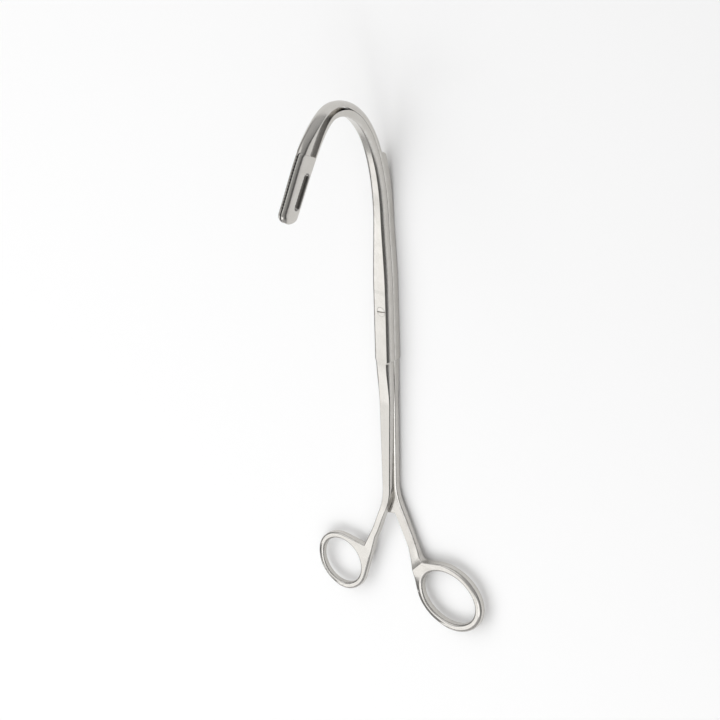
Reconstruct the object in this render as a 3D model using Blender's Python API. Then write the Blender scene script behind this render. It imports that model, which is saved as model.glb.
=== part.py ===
"""Kidney stone forceps: two ring-handled branches on one slotted screw, hooked forward to slotted jaws.

World frame: the pivot axis is Z, through the origin. Z = 0 is the flat back of the joint, on which the
forceps lies. +Y runs from the finger rings to the hook, and +X is the side of the larger ring. Every branch
section is drawn across one path: x is measured across the branch, and q from the front (concave) face
towards the back.
"""
import math

import bmesh
import bpy
import numpy as np

MM = 0.001

# Gaps between neighbours
MATING_GAP = 0.3 * MM
SCREW_GAP = 0.3 * MM

# Joint
STACK_THICKNESS = 7.4 * MM
FRONT_HALF_THICKNESS = 3.55 * MM
JOINT_WIDTH = 6.95 * MM
JOINT_CENTRE_X = -0.37 * MM
JOINT_TOP = 8.0 * MM
JOINT_BOTTOM = -21.5 * MM
JOINT_STEP_LENGTH = 0.6 * MM
JOINT_EDGE_RADIUS = 1.1 * MM
REAR_EDGE_RADIUS = 0.9 * MM

# Shanks, from the joint down to the rings
SHANK_TOP_WIDTH = 6.1 * MM
SHANK_WIDTH = 3.7 * MM
SHANK_THIN_Y = -42.0 * MM
SHANK_EDGE_RADIUS = 0.45 * MM
FRONT_SHANK_THICKNESS = 2.15 * MM
FRONT_SHANK_CENTRE_X = -1.0 * MM
REAR_SHANK_THICKNESS = 2.4 * MM
REAR_SHANK_CENTRE_X = 0.15 * MM
SHANK_TAPER_END_Y = -75.0 * MM
FRONT_SPLAY_START_Y = -77.0 * MM
REAR_SPLAY_START_Y = -75.0 * MM
SPLAY_RADIUS = 27.0 * MM
FRONT_SPLAY_DEG = 28.0
REAR_SPLAY_DEG = 26.0
HANDLE_LEVEL_START = -88.0 * MM
HANDLE_LEVEL_END = -101.0 * MM
HANDLE_WIDTH_START = -76.0 * MM
HANDLE_WIDTH_END = -90.0 * MM
HANDLE_EDGE_RADIUS = 0.8 * MM
FRONT_HANDLE_WIDTH = 2.9 * MM
REAR_HANDLE_WIDTH = 4.4 * MM
RING_LEVEL = 3.7 * MM
PLATE_SINK = 0.35 * MM
PLATE_INSET = 0.08 * MM

# Stop web of the rear branch, which fills the crotch behind the front shank
WEB_TOP_X = -1.4 * MM
WEB_TOP_Y = -78.0 * MM
WEB_END_Y = -88.0 * MM
WEB_REACH_X = -2.8 * MM
WEB_REACH_END_Y = -89.2 * MM
WEB_LEVEL = 2.4 * MM
WEB_THICKNESS = 1.9 * MM
WEB_EDGE_RADIUS = 0.25 * MM

# Finger rings: centre, outer half-axes, tilt of the long axis, stock across and through
FRONT_RING_CENTRE = (-24.8 * MM, -116.6 * MM)
FRONT_RING_HALF_AXES = (11.8 * MM, 11.8 * MM)
FRONT_RING_TILT_DEG = 0.0
FRONT_RING_STOCK = 2.7 * MM
FRONT_RING_DEPTH = 2.8 * MM
FRONT_NOTCH_Y = -106.3 * MM
FRONT_NOTCH_RADIUS = 0.7 * MM
FRONT_PLATE_START = -102.5 * MM
FRONT_SHANK_END = -109.0 * MM
REAR_RING_CENTRE = (27.5 * MM, -115.9 * MM)
REAR_RING_HALF_AXES = (16.3 * MM, 13.6 * MM)
REAR_RING_TILT_DEG = -8.0
REAR_RING_STOCK = 3.3 * MM
REAR_RING_DEPTH = 3.4 * MM
REAR_NOTCH_Y = -104.6 * MM
REAR_NOTCH_RADIUS = 3.2 * MM
REAR_PLATE_START = -99.5 * MM
REAR_SHANK_END = -108.5 * MM
RING_EDGE_RADIUS = 0.95 * MM

# Hook: the line of its concave face in the plane X = 0
HOOK_START_Y = 38.5 * MM
HOOK_START_PULL = 41.6 * MM
HOOK_APEX = (95.7 * MM, 33.6 * MM)
HOOK_APEX_PULL_BELOW = 9.0 * MM
HOOK_APEX_PULL_ABOVE = 8.0 * MM
HOOK_TIP = (60.5 * MM, 59.9 * MM)
HOOK_TIP_PULL = 14.0 * MM
HOOK_TIP_SLOPE_DEG = 33.0

# Neck sections along the hook
NECK_WIDTH = 4.8 * MM
NECK_CENTRE_X = -0.5 * MM
NECK_SLIM_Y = 44.0 * MM
NECK_STACK = 5.7 * MM
NECK_TAPER_LEAD = 12.0 * MM
SHOULDER_AT = 65.8 * MM
SHOULDER_LENGTH = 2.6 * MM
SHOULDER_DROP = 1.3 * MM
NECK_EDGE_RADIUS = 0.45 * MM
INNER_NECK_THICKNESS = 3.0 * MM
INNER_NECK_END_THICKNESS = 1.6 * MM
WINDOW_START_BELOW_APEX = 11.0 * MM
WINDOW_FULL_PAST_APEX = 10.0 * MM
WINDOW_WIDTH = 3.4 * MM

# Jaws
JAW_LENGTH = 27.4 * MM
JAW_WIDTH = 5.2 * MM
JAW_ROOT_DEPTH = 9.0 * MM
JAW_TIP_DEPTH = 8.2 * MM
JAW_CONCAVE_RADIUS = 0.5 * MM
JAW_PARTING_CHAMFER = 0.4 * MM
JAW_BACK_ROUND = 5.0 * MM
MATING_EDGE = 0.12 * MM
TIP_ROUND_LENGTH = 3.4 * MM
TIP_FLAT_SHARE = 0.32
TIP_NARROWING = 0.55
TIP_CONCAVE_SHARE = 0.7
STEP_LENGTH = 0.05 * MM
SLOT_LENGTH = 14.6 * MM
SLOT_WIDTH = 3.0 * MM
SLOT_START = 6.6 * MM
SLOT_EDGE = 1.2 * MM
TOOTH_PITCH = 1.25 * MM
TOOTH_DEPTH = 0.35 * MM
TOOTH_FIRST = 1.6 * MM
TOOTH_COUNT = 17
TOOTH_ROOT_SHARE = 0.84
TOOTH_MOUTH_LIFT = 0.09 * MM
CUT_MARGIN = 1.0 * MM

# Pivot screw
SCREW_HEAD_RADIUS = 1.9 * MM
SCREW_HEAD_HEIGHT = 1.4 * MM
SCREW_SHAFT_RADIUS = 1.2 * MM
SCREW_FLOOR = 1.0 * MM
SCREW_CROWN = 0.15 * MM
SCREW_CROWN_SHOULDER = 0.12 * MM
SCREW_EDGE_BEVEL = 0.2 * MM
SLOT_CUT_WIDTH = 0.55 * MM
SLOT_CUT_DEPTH = 0.6 * MM
SCREW_SLOT_TURN_DEG = 12.0

STEEL = (0.62, 0.61, 0.58, 1.0)
SCREW_STEEL = (0.66, 0.65, 0.62, 1.0)

# Mesh fineness
CORNER_STEPS = 5
HANDLE_SPACING = 3.0 * MM
SHANK_SPACING = 9.0 * MM
JOINT_SPACING = 5.0 * MM
NECK_SPACING = 6.0 * MM
HOOK_LONG_STEP = 6.0 * MM
HOOK_TURN_STEP = math.radians(5.5)
HOOK_CURVE_STEPS = 241
JAW_BODY_SECTIONS = 12
JAW_FIRST_SECTION = 0.2 * MM
JAW_TIP_ANGLES_DEG = (18.0, 36.0, 52.0, 64.0, 72.0)
RING_STEPS = 44
RING_HOLE_STEPS = 48
NOTCH_STEPS = 6
SLOT_END_STEPS = 8
TURNED_STEPS = 40
TANGENT_STEP_DEG = 0.25


def blend(value, start, end):
    """0 before start, 1 after end, and an even S-shaped rise between them."""
    t = min(1.0, max(0.0, (value - start) / (end - start)))
    return t * t * (3.0 - 2.0 * t)


def mix(a, b, t):
    return a + (b - a) * t


def bezier(p0, p1, p2, p3, count):
    t = np.linspace(0.0, 1.0, count)[:, None]
    p0, p1, p2, p3 = (np.array(p) for p in (p0, p1, p2, p3))
    return (1 - t) ** 3 * p0 + 3 * (1 - t) ** 2 * t * p1 + 3 * (1 - t) * t * t * p2 + t ** 3 * p3


def hook_line():
    """The concave line of the hook as (Y, Z) points, with the length along it and the apex's place on it."""
    slope = math.radians(HOOK_TIP_SLOPE_DEG)
    heading = (-math.cos(slope), math.sin(slope))
    start = (HOOK_START_Y, STACK_THICKNESS)
    rise = bezier(start, (HOOK_START_Y + HOOK_START_PULL, STACK_THICKNESS),
                  (HOOK_APEX[0], HOOK_APEX[1] - HOOK_APEX_PULL_BELOW), HOOK_APEX, HOOK_CURVE_STEPS)
    fall = bezier(HOOK_APEX, (HOOK_APEX[0], HOOK_APEX[1] + HOOK_APEX_PULL_ABOVE),
                  (HOOK_TIP[0] - HOOK_TIP_PULL * heading[0], HOOK_TIP[1] - HOOK_TIP_PULL * heading[1]),
                  HOOK_TIP, HOOK_CURVE_STEPS)
    line = np.vstack([rise, fall[1:]])
    along = np.concatenate([[0.0], np.cumsum(np.linalg.norm(np.diff(line, axis=0), axis=1))])
    return line, along + HOOK_START_Y, along[len(rise) - 1] + HOOK_START_Y


HOOK_LINE, HOOK_ALONG, APEX_AT = hook_line()
HOOK_HEADING = np.unwrap(np.arctan2(np.gradient(HOOK_LINE[:, 1]), np.gradient(HOOK_LINE[:, 0])))
TIP_AT = HOOK_ALONG[-1]
JAW_AT = TIP_AT - JAW_LENGTH
WINDOW_AT = APEX_AT - WINDOW_START_BELOW_APEX


def hook_frame(s):
    """Origin, x axis and q axis of the section at s on the straight joint and on the hook."""
    if s <= HOOK_START_Y:
        return np.array([0.0, s, STACK_THICKNESS]), np.array([1.0, 0, 0]), np.array([0, 0, -1.0])
    y = np.interp(s, HOOK_ALONG, HOOK_LINE[:, 0])
    z = np.interp(s, HOOK_ALONG, HOOK_LINE[:, 1])
    turn = np.interp(s, HOOK_ALONG, HOOK_HEADING)
    return np.array([0.0, y, z]), np.array([1.0, 0, 0]), np.array([0, math.sin(turn), -math.cos(turn)])


def splay_start(side):
    return REAR_SPLAY_START_Y if side > 0 else FRONT_SPLAY_START_Y


def handle_frame(s, side, splay_deg):
    """The same below the shank, where the branch bends out on an arc and runs straight to its ring."""
    splay = math.radians(splay_deg)
    run = splay_start(side) - s
    turn = min(splay, run / SPLAY_RADIUS)
    x = SPLAY_RADIUS * (1 - math.cos(turn))
    y = splay_start(side) - SPLAY_RADIUS * math.sin(turn)
    rest = max(0.0, run - SPLAY_RADIUS * splay)
    x += rest * math.sin(turn)
    y -= rest * math.cos(turn)
    return (np.array([side * x, y, STACK_THICKNESS]),
            np.array([math.cos(turn), side * math.sin(turn), 0.0]), np.array([0, 0, -1.0]))


def frame_at(s, side, splay_deg):
    return hook_frame(s) if s >= splay_start(side) else handle_frame(s, side, splay_deg)


def rounded_section(x0, x1, q0, q1, radii):
    """A closed outline in (x, q) with an elliptic corner at (x0,q0), (x1,q0), (x1,q1) and (x0,q1).

    Each corner's radii in x and q shrink together where two corners would meet on one side.
    """
    wish = [r if isinstance(r, tuple) else (r, r) for r in radii]
    corners = ((x0, q0, 180), (x1, q0, 270), (x1, q1, 0), (x0, q1, 90))
    points = []
    for i, (cx, cq, start) in enumerate(corners):
        x_mate = i ^ 1
        q_mate = 3 - i
        rx = wish[i][0] * min(1.0, 0.98 * (x1 - x0) / (wish[i][0] + wish[x_mate][0]))
        rq = wish[i][1] * min(1.0, 0.98 * (q1 - q0) / (wish[i][1] + wish[q_mate][1]))
        mx = cx + rx if cx == x0 else cx - rx
        mq = cq + rq if cq == q0 else cq - rq
        for k in range(CORNER_STEPS):
            a = math.radians(start + 90.0 * k / (CORNER_STEPS - 1))
            points.append((mx + rx * math.cos(a), mq + rq * math.sin(a)))
    return points


def material(name, colour, roughness):
    mat = bpy.data.materials.new(name)
    mat.use_nodes = True
    shader = mat.node_tree.nodes["Principled BSDF"]
    shader.inputs["Base Color"].default_value = colour
    shader.inputs["Roughness"].default_value = roughness
    shader.inputs["Metallic"].default_value = 1.0
    return mat


def mesh_object(name, mesh, collection):
    obj = bpy.data.objects.new(name, mesh)
    collection.objects.link(obj)
    return obj


def loft(name, sections, collection):
    """A closed body through sections, each given as (origin, x axis, q axis, outline)."""
    bm = bmesh.new()
    loops = []
    for origin, x_axis, q_axis, outline in sections:
        loops.append([bm.verts.new(origin + x_axis * x + q_axis * q) for x, q in outline])
    for a, b in zip(loops, loops[1:]):
        for i in range(len(a)):
            j = (i + 1) % len(a)
            bm.faces.new((a[i], a[j], b[j], b[i]))
    bm.faces.new(loops[0])
    bm.faces.new(list(reversed(loops[-1])))
    bmesh.ops.recalc_face_normals(bm, faces=bm.faces)
    mesh = bpy.data.meshes.new(name)
    bm.to_mesh(mesh)
    bm.free()
    return mesh_object(name, mesh, collection)


def neck_width(s):
    """Full width across x of both branches together, joint to jaws."""
    width = mix(JOINT_WIDTH, NECK_WIDTH, blend(s, JOINT_TOP, NECK_SLIM_Y))
    return mix(width, JAW_WIDTH, blend(s, SHOULDER_AT, JAW_AT))


def neck_centre(s):
    """Middle of the joint and neck across x: off the pivot's plane at first, in it from the apex on."""
    centre = mix(JOINT_CENTRE_X, NECK_CENTRE_X, blend(s, JOINT_TOP, NECK_SLIM_Y))
    return centre * (1.0 - blend(s, SHOULDER_AT, APEX_AT))


def handle_level(s):
    """0 on the shank, 1 where the handle has come to the level of its ring."""
    return blend(-s, -HANDLE_LEVEL_START, -HANDLE_LEVEL_END)


def across(s, shank_centre, ring_handle_width):
    """Lowest and highest x of a branch's section below the jaws."""
    if s > JOINT_BOTTOM - 0.5 * JOINT_STEP_LENGTH:
        middle, half = neck_centre(s), 0.5 * neck_width(s)
    else:
        t = min(1.0, (JOINT_BOTTOM - s) / (JOINT_BOTTOM - SHANK_TAPER_END_Y))
        middle = mix(JOINT_CENTRE_X, shank_centre, t) * (1.0 - handle_level(s))
        handle = blend(-s, -HANDLE_WIDTH_START, -HANDLE_WIDTH_END)
        half = 0.5 * mix(mix(SHANK_TOP_WIDTH, SHANK_WIDTH, t), ring_handle_width, handle)
    return middle - half, middle + half


def shank_thickness(s, thin):
    """Thickness of one branch from the joint down to the splay."""
    return mix(FRONT_HALF_THICKNESS, thin, blend(-s, -JOINT_BOTTOM, -SHANK_THIN_Y))


def stack_depth(s):
    """Depth in q of the two branches together, from the joint along the hook."""
    slim = blend(s, HOOK_START_Y - NECK_TAPER_LEAD, SHOULDER_AT)
    depth = mix(STACK_THICKNESS, NECK_STACK + SHOULDER_DROP, slim)
    depth -= SHOULDER_DROP * blend(s, SHOULDER_AT, SHOULDER_AT + SHOULDER_LENGTH)
    depth = mix(depth, JAW_ROOT_DEPTH, blend(s, APEX_AT, JAW_AT))
    return mix(depth, JAW_TIP_DEPTH, blend(s, JAW_AT, TIP_AT))


def inner_depth(s):
    """Thickness in q of the front branch along the hook, up to the jaws."""
    depth = mix(FRONT_HALF_THICKNESS, INNER_NECK_THICKNESS, blend(s, HOOK_START_Y, SHOULDER_AT))
    return mix(depth, INNER_NECK_END_THICKNESS, blend(s, WINDOW_AT, JAW_AT))


def window_depth(s):
    """Gap in q between the two necks: the mating gap, opening past the apex into the window."""
    return mix(MATING_GAP, WINDOW_WIDTH, blend(s, WINDOW_AT, APEX_AT + WINDOW_FULL_PAST_APEX))


def tip_factor(s):
    """1 along the jaw, falling on a quarter ellipse over the rounded end."""
    u = max(0.0, (s - (TIP_AT - TIP_ROUND_LENGTH)) / TIP_ROUND_LENGTH)
    return math.sqrt(max(0.0, 1.0 - u * u))


def ring_lead(s, depth, plate_start, end_at):
    """Thickness of a shank as it runs into its ring: above the ring's at first, sunk in it at the end."""
    t = min(1.0, max(0.0, (plate_start - s) / (plate_start - end_at)))
    return depth + PLATE_SINK * (1.0 - 2.0 * t)


def jaw_section(s, side):
    """One jaw half, from the parting plane out to its side face, rounded on its convex back."""
    depth = stack_depth(s)
    f = max(TIP_FLAT_SHARE, tip_factor(s))
    half = 0.5 * neck_width(s)
    inner = 0.5 * MATING_GAP
    outer = inner + (half - inner) * mix(1.0, f, TIP_NARROWING)
    middle = 0.5 * depth
    q0 = middle - middle * f
    q1 = middle + middle * f
    back = (outer - inner, JAW_BACK_ROUND)
    concave = mix((outer - inner) * TIP_CONCAVE_SHARE, JAW_CONCAVE_RADIUS, f)
    if side > 0:
        return rounded_section(inner, outer, q0, q1, (MATING_EDGE, concave, back, JAW_PARTING_CHAMFER))
    return rounded_section(-outer, -inner, q0, q1, (concave, MATING_EDGE, JAW_PARTING_CHAMFER, back))


def jaw_stations():
    """Places of the jaw sections: even along the body, then closing in on the rounded end."""
    body = list(np.linspace(JAW_AT + JAW_FIRST_SECTION, TIP_AT - TIP_ROUND_LENGTH, JAW_BODY_SECTIONS))
    end = [TIP_AT - TIP_ROUND_LENGTH * (1 - math.sin(math.radians(a))) for a in JAW_TIP_ANGLES_DEG]
    return body + end


def neck_stations(first, last, step):
    count = max(2, int(round((last - first) / step)))
    return list(np.linspace(first, last, count + 1))


def hook_stations(first, last):
    """Places along the hook, closer together where it bends more."""
    fine = np.linspace(first, last, 400)
    turn = np.interp(fine, HOOK_ALONG, HOOK_HEADING)
    gain = np.diff(fine) / HOOK_LONG_STEP + np.diff(turn) / HOOK_TURN_STEP
    effort = np.concatenate([[0.0], np.cumsum(gain)])
    count = int(math.ceil(effort[-1]))
    even = np.interp(np.linspace(0.0, effort[-1], count + 1), effort, fine)
    shoulder = np.linspace(SHOULDER_AT, SHOULDER_AT + SHOULDER_LENGTH, 5)
    clear = np.abs(even[:, None] - shoulder).min(axis=1) > 0.3 * SHOULDER_LENGTH
    return sorted(list(even[clear]) + list(shoulder))


def shank_stations(end_at):
    """Places of the sections from the ring end up to the hook's first turn."""
    handle = neck_stations(end_at, SHANK_TAPER_END_Y, HANDLE_SPACING)
    shank = neck_stations(SHANK_TAPER_END_Y, JOINT_BOTTOM - JOINT_STEP_LENGTH, SHANK_SPACING)[1:]
    joint = [JOINT_BOTTOM, JOINT_BOTTOM + JOINT_SPACING, 0.0]
    upper = neck_stations(JOINT_TOP, HOOK_START_Y, NECK_SPACING)
    return handle + shank + joint + upper


def front_section(s):
    """Section of the front branch anywhere below the jaws."""
    x0, x1 = across(s, FRONT_SHANK_CENTRE_X, FRONT_HANDLE_WIDTH)
    level = handle_level(s)
    if s < JOINT_TOP:
        thick = ring_lead(s, FRONT_RING_DEPTH, FRONT_PLATE_START, FRONT_SHANK_END)
        middle = STACK_THICKNESS - RING_LEVEL
        face = FRONT_HALF_THICKNESS - shank_thickness(s, FRONT_SHANK_THICKNESS)
        q0 = mix(face, middle - 0.5 * thick, level)
        q1 = mix(FRONT_HALF_THICKNESS, middle + 0.5 * thick, level)
    else:
        q0, q1 = 0.0, inner_depth(s)
    edge = mix(JOINT_EDGE_RADIUS, NECK_EDGE_RADIUS, blend(s, HOOK_START_Y, SHOULDER_AT))
    edge = mix(edge, SHANK_EDGE_RADIUS, blend(-s, -JOINT_BOTTOM, -SHANK_THIN_Y))
    mate = mix(MATING_EDGE, HANDLE_EDGE_RADIUS, level)
    return rounded_section(x0, x1, q0, q1, (edge, edge, mate, mate))


def rear_section(s):
    """Section of the rear branch anywhere below the jaws."""
    x0, x1 = across(s, REAR_SHANK_CENTRE_X, REAR_HANDLE_WIDTH)
    level = handle_level(s)
    if s < JOINT_TOP:
        thick = ring_lead(s, REAR_RING_DEPTH, REAR_PLATE_START, REAR_SHANK_END)
        middle = STACK_THICKNESS - RING_LEVEL
        top = FRONT_HALF_THICKNESS + MATING_GAP
        q0 = mix(top, middle - 0.5 * thick, level)
        q1 = mix(top + shank_thickness(s, REAR_SHANK_THICKNESS), middle + 0.5 * thick, level)
    else:
        q0 = inner_depth(s) + window_depth(s)
        q1 = stack_depth(s)
    round_up = blend(s, SHOULDER_AT, SHOULDER_AT + SHOULDER_LENGTH)
    below = mix(REAR_EDGE_RADIUS, SHANK_EDGE_RADIUS, blend(-s, -JOINT_BOTTOM, -SHANK_THIN_Y))
    edge = (mix(below, 0.49 * (x1 - x0), round_up), mix(below, 0.8 * (q1 - q0), round_up))
    mate = mix(MATING_EDGE, HANDLE_EDGE_RADIUS, level)
    return rounded_section(x0, x1, q0, q1, (mate, mate, edge, edge))


def front_branch_sections():
    """Ring end to tip: past the neck the front branch narrows to the +X half, then takes the whole depth."""
    def place(s, outline):
        return (*frame_at(s, -1, FRONT_SPLAY_DEG), outline)

    sections = [place(s, front_section(s)) for s in shank_stations(FRONT_SHANK_END)]
    neck = hook_stations(HOOK_START_Y, JAW_AT - 0.5 * MATING_GAP)[1:]
    sections += [place(s, front_section(s)) for s in neck]
    root = JAW_AT - 0.5 * MATING_GAP + STEP_LENGTH
    inner, outer = 0.5 * MATING_GAP, 0.5 * neck_width(JAW_AT)
    small = (MATING_EDGE, NECK_EDGE_RADIUS, MATING_EDGE, MATING_EDGE)
    for s in (root, JAW_AT + 0.5 * MATING_GAP):
        sections.append(place(s, rounded_section(inner, outer, 0.0, inner_depth(JAW_AT), small)))
    sections += [place(s, jaw_section(s, 1)) for s in jaw_stations()]
    return sections


def rear_branch_sections():
    """The same for the rear branch, which narrows to the -X half."""
    def place(s, outline):
        return (*frame_at(s, 1, REAR_SPLAY_DEG), outline)

    sections = [place(s, rear_section(s)) for s in shank_stations(REAR_SHANK_END)]
    neck = hook_stations(HOOK_START_Y, JAW_AT - 0.5 * MATING_GAP)[1:]
    sections += [place(s, rear_section(s)) for s in neck]
    root = JAW_AT - 0.5 * MATING_GAP + STEP_LENGTH
    inner, outer = 0.5 * MATING_GAP, 0.5 * neck_width(JAW_AT)
    q0 = inner_depth(JAW_AT) + window_depth(JAW_AT)
    back = (outer - inner, JAW_BACK_ROUND)
    small = (MATING_EDGE, MATING_EDGE, JAW_PARTING_CHAMFER, back)
    for s in (root, JAW_AT + 0.5 * MATING_GAP):
        sections.append(place(s, rounded_section(-outer, -inner, q0, stack_depth(JAW_AT), small)))
    sections += [place(s, jaw_section(s, -1)) for s in jaw_stations()]
    return sections


def ellipse_point(centre, axes, tilt, angle, grow=0.0):
    """Point, and travel direction, at a parameter angle on a tilted ellipse."""
    a, b = axes[0] + grow, axes[1] + grow
    px, py = a * math.cos(angle), b * math.sin(angle)
    dx, dy = -a * math.sin(angle), b * math.cos(angle)
    c, s = math.cos(tilt), math.sin(tilt)
    point = np.array([centre[0] + px * c - py * s, centre[1] + px * s + py * c])
    way = np.array([dx * c - dy * s, dx * s + dy * c])
    return point, way / np.linalg.norm(way)


def rounded_corner(before, corner, after, radius, steps):
    """Arc of a radius that touches both legs of a corner."""
    u = (before - corner) / np.linalg.norm(before - corner)
    v = (after - corner) / np.linalg.norm(after - corner)
    half = 0.5 * math.acos(float(np.clip(u @ v, -1, 1)))
    reach = radius / math.tan(half)
    middle = corner + (u + v) / np.linalg.norm(u + v) * radius / math.sin(half)
    a = corner + u * reach - middle
    b = corner + v * reach - middle
    start = math.atan2(a[1], a[0])
    sweep = (math.atan2(b[1], b[0]) - start + math.pi) % (2 * math.pi) - math.pi
    angles = start + sweep * np.arange(steps + 1) / steps
    return [middle + radius * np.array([math.cos(angle), math.sin(angle)]) for angle in angles]


def tangent_angle(point, centre, axes, tilt, first, last):
    """Ellipse angle, between two, at which the tangent passes through a point outside the ellipse."""
    best = (None, None)
    for angle in np.radians(np.arange(first, last, TANGENT_STEP_DEG)):
        on, way = ellipse_point(centre, axes, tilt, angle)
        back = point - on
        miss = abs(back[0] * way[1] - back[1] * way[0]) / np.linalg.norm(back)
        if best[0] is None or miss < best[0]:
            best = (miss, angle)
    return best[1]


def handle_plate_outline(side, splay_deg, plate_at, width, notch_y, centre, axes, tilt_deg, notch_radius):
    """Outer outline of a ring and its flare, as seen from the front, for the branch on one side.

    It leaves the shank on its outer edge, turns at the notch onto a tangent of the ring, follows the ring
    round, and comes back to the shank along the tangent through its inner edge.
    """
    origin, x_axis, _ = handle_frame(plate_at, side, splay_deg)
    across = x_axis[:2] * side
    down = np.array([x_axis[1], -x_axis[0]])
    outer_edge = origin[:2] + across * (0.5 * width - PLATE_INSET)
    inner_edge = origin[:2] - across * (0.5 * width - PLATE_INSET)
    notch = outer_edge + down * (notch_y - outer_edge[1]) / down[1]
    tilt = math.radians(tilt_deg)
    if side > 0:
        leave = tangent_angle(notch, centre, axes, tilt, 60.0, 150.0)
        arrive = tangent_angle(inner_edge, centre, axes, tilt, 150.0, 240.0) - 2 * math.pi
    else:
        leave = tangent_angle(notch, centre, axes, tilt, 30.0, 120.0)
        arrive = tangent_angle(inner_edge, centre, axes, tilt, -60.0, 30.0) + 2 * math.pi
    first = ellipse_point(centre, axes, tilt, leave)[0]
    outline = [outer_edge] + rounded_corner(outer_edge, notch, first, notch_radius, NOTCH_STEPS)
    outline += [ellipse_point(centre, axes, tilt, a)[0] for a in np.linspace(leave, arrive, RING_STEPS)]
    outline.append(inner_edge)
    return outline


def plate(name, loops, depth, level, edge, collection):
    """A flat outline with or without a hole, extruded about a level and rounded along both rims."""
    curve = bpy.data.curves.new(name, "CURVE")
    curve.dimensions = "2D"
    curve.fill_mode = "BOTH"
    curve.extrude = 0.5 * depth - edge
    curve.bevel_depth = edge
    curve.bevel_resolution = 2
    curve.offset = -edge
    for loop in loops:
        spline = curve.splines.new("POLY")
        spline.points.add(len(loop) - 1)
        for point, (x, y) in zip(spline.points, loop):
            point.co = (x, y, 0.0, 1.0)
        spline.use_cyclic_u = True
    obj = bpy.data.objects.new(name, curve)
    obj.location.z = level
    collection.objects.link(obj)
    bpy.context.view_layer.update()
    depsgraph = bpy.context.evaluated_depsgraph_get()
    mesh = bpy.data.meshes.new_from_object(obj.evaluated_get(depsgraph))
    mesh.transform(obj.matrix_world)
    bpy.data.objects.remove(obj)
    bm = bmesh.new()
    bm.from_mesh(mesh)
    bmesh.ops.remove_doubles(bm, verts=bm.verts, dist=1e-6)
    bmesh.ops.recalc_face_normals(bm, faces=bm.faces)
    bm.to_mesh(mesh)
    bm.free()
    return mesh_object(name, mesh, collection)


def stop_web(collection):
    """The web: one side along its reach towards the front shank, the other buried in the rear shank."""
    outline = []
    for s in (WEB_TOP_Y, WEB_END_Y):
        origin, _, _ = handle_frame(s, 1, REAR_SPLAY_DEG)
        outline.append(np.array([origin[0], s]))
    outline += [np.array([WEB_REACH_X, WEB_REACH_END_Y]), np.array([WEB_TOP_X, WEB_TOP_Y])]
    return plate("stop_web", [outline], WEB_THICKNESS, WEB_LEVEL, WEB_EDGE_RADIUS, collection)


def boolean(obj, other, operation):
    change = obj.modifiers.new(other.name, "BOOLEAN")
    change.operation = operation
    change.solver = "EXACT"
    change.object = other
    other.hide_render = True
    other.display_type = "WIRE"


def ring_hole(centre, axes, tilt_deg, stock):
    tilt = math.radians(tilt_deg)
    angles = 2 * math.pi * np.arange(RING_HOLE_STEPS) / RING_HOLE_STEPS
    return [ellipse_point(centre, axes, tilt, angle, -stock)[0] for angle in angles]


def slot_cutter(collection):
    """A round-ended bar through both jaws, along the middle of the slot."""
    middle = JAW_AT + SLOT_START + 0.5 * SLOT_LENGTH
    origin, _, q_axis = hook_frame(middle)
    along = np.array([0, -q_axis[2], q_axis[1]])
    centre = origin + q_axis * (SLOT_EDGE + 0.5 * SLOT_WIDTH)
    radius = 0.5 * SLOT_WIDTH
    run = 0.5 * SLOT_LENGTH - radius
    outline = []
    for start, shift in ((-90, run), (90, -run)):
        for k in range(SLOT_END_STEPS + 1):
            a = math.radians(start + 180.0 * k / SLOT_END_STEPS)
            outline.append((shift + radius * math.cos(a), radius * math.sin(a)))
    sections = [(centre + np.array([x, 0, 0]), along, q_axis, outline) for x in (-JAW_WIDTH, JAW_WIDTH)]
    return loft("jaw_slot_cutter", sections, collection)


def teeth_cutter(name, side, collection):
    """A row of V grooves across one jaw's gripping face."""
    bm = bmesh.new()
    face = side * 0.5 * MATING_GAP
    for k in range(TOOTH_COUNT):
        s = JAW_AT + TOOTH_FIRST + k * TOOTH_PITCH
        origin, x_axis, q_axis = hook_frame(s)
        along = np.array([0, -q_axis[2], q_axis[1]])
        mouth = 0.5 * TOOTH_ROOT_SHARE * TOOTH_PITCH
        open_at = face - side * TOOTH_MOUTH_LIFT
        profile = ((-mouth, open_at), (mouth, open_at), (0.0, face + side * TOOTH_DEPTH))
        ends = []
        for q in (-CUT_MARGIN, JAW_ROOT_DEPTH + CUT_MARGIN):
            ends.append([bm.verts.new(origin + along * a + x_axis * x + q_axis * q) for a, x in profile])
        for i in range(3):
            j = (i + 1) % 3
            bm.faces.new((ends[0][i], ends[0][j], ends[1][j], ends[1][i]))
        bm.faces.new(ends[0])
        bm.faces.new(list(reversed(ends[1])))
    bmesh.ops.recalc_face_normals(bm, faces=bm.faces)
    mesh = bpy.data.meshes.new(name)
    bm.to_mesh(mesh)
    bm.free()
    return mesh_object(name, mesh, collection)


def turned(name, profile, collection):
    """A body of revolution about the pivot axis from a closed (radius, z) profile that ends on the axis."""
    bm = bmesh.new()
    verts = [bm.verts.new((r, 0.0, z)) for r, z in profile]
    edges = [bm.edges.new(pair) for pair in zip(verts, verts[1:])]
    bmesh.ops.spin(bm, geom=verts + edges, axis=(0, 0, 1), cent=(0, 0, 0), angle=2 * math.pi,
                   steps=TURNED_STEPS, use_duplicate=False)
    bmesh.ops.remove_doubles(bm, verts=bm.verts, dist=1e-6)
    bmesh.ops.recalc_face_normals(bm, faces=bm.faces)
    mesh = bpy.data.meshes.new(name)
    bm.to_mesh(mesh)
    bm.free()
    return mesh_object(name, mesh, collection)


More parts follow.
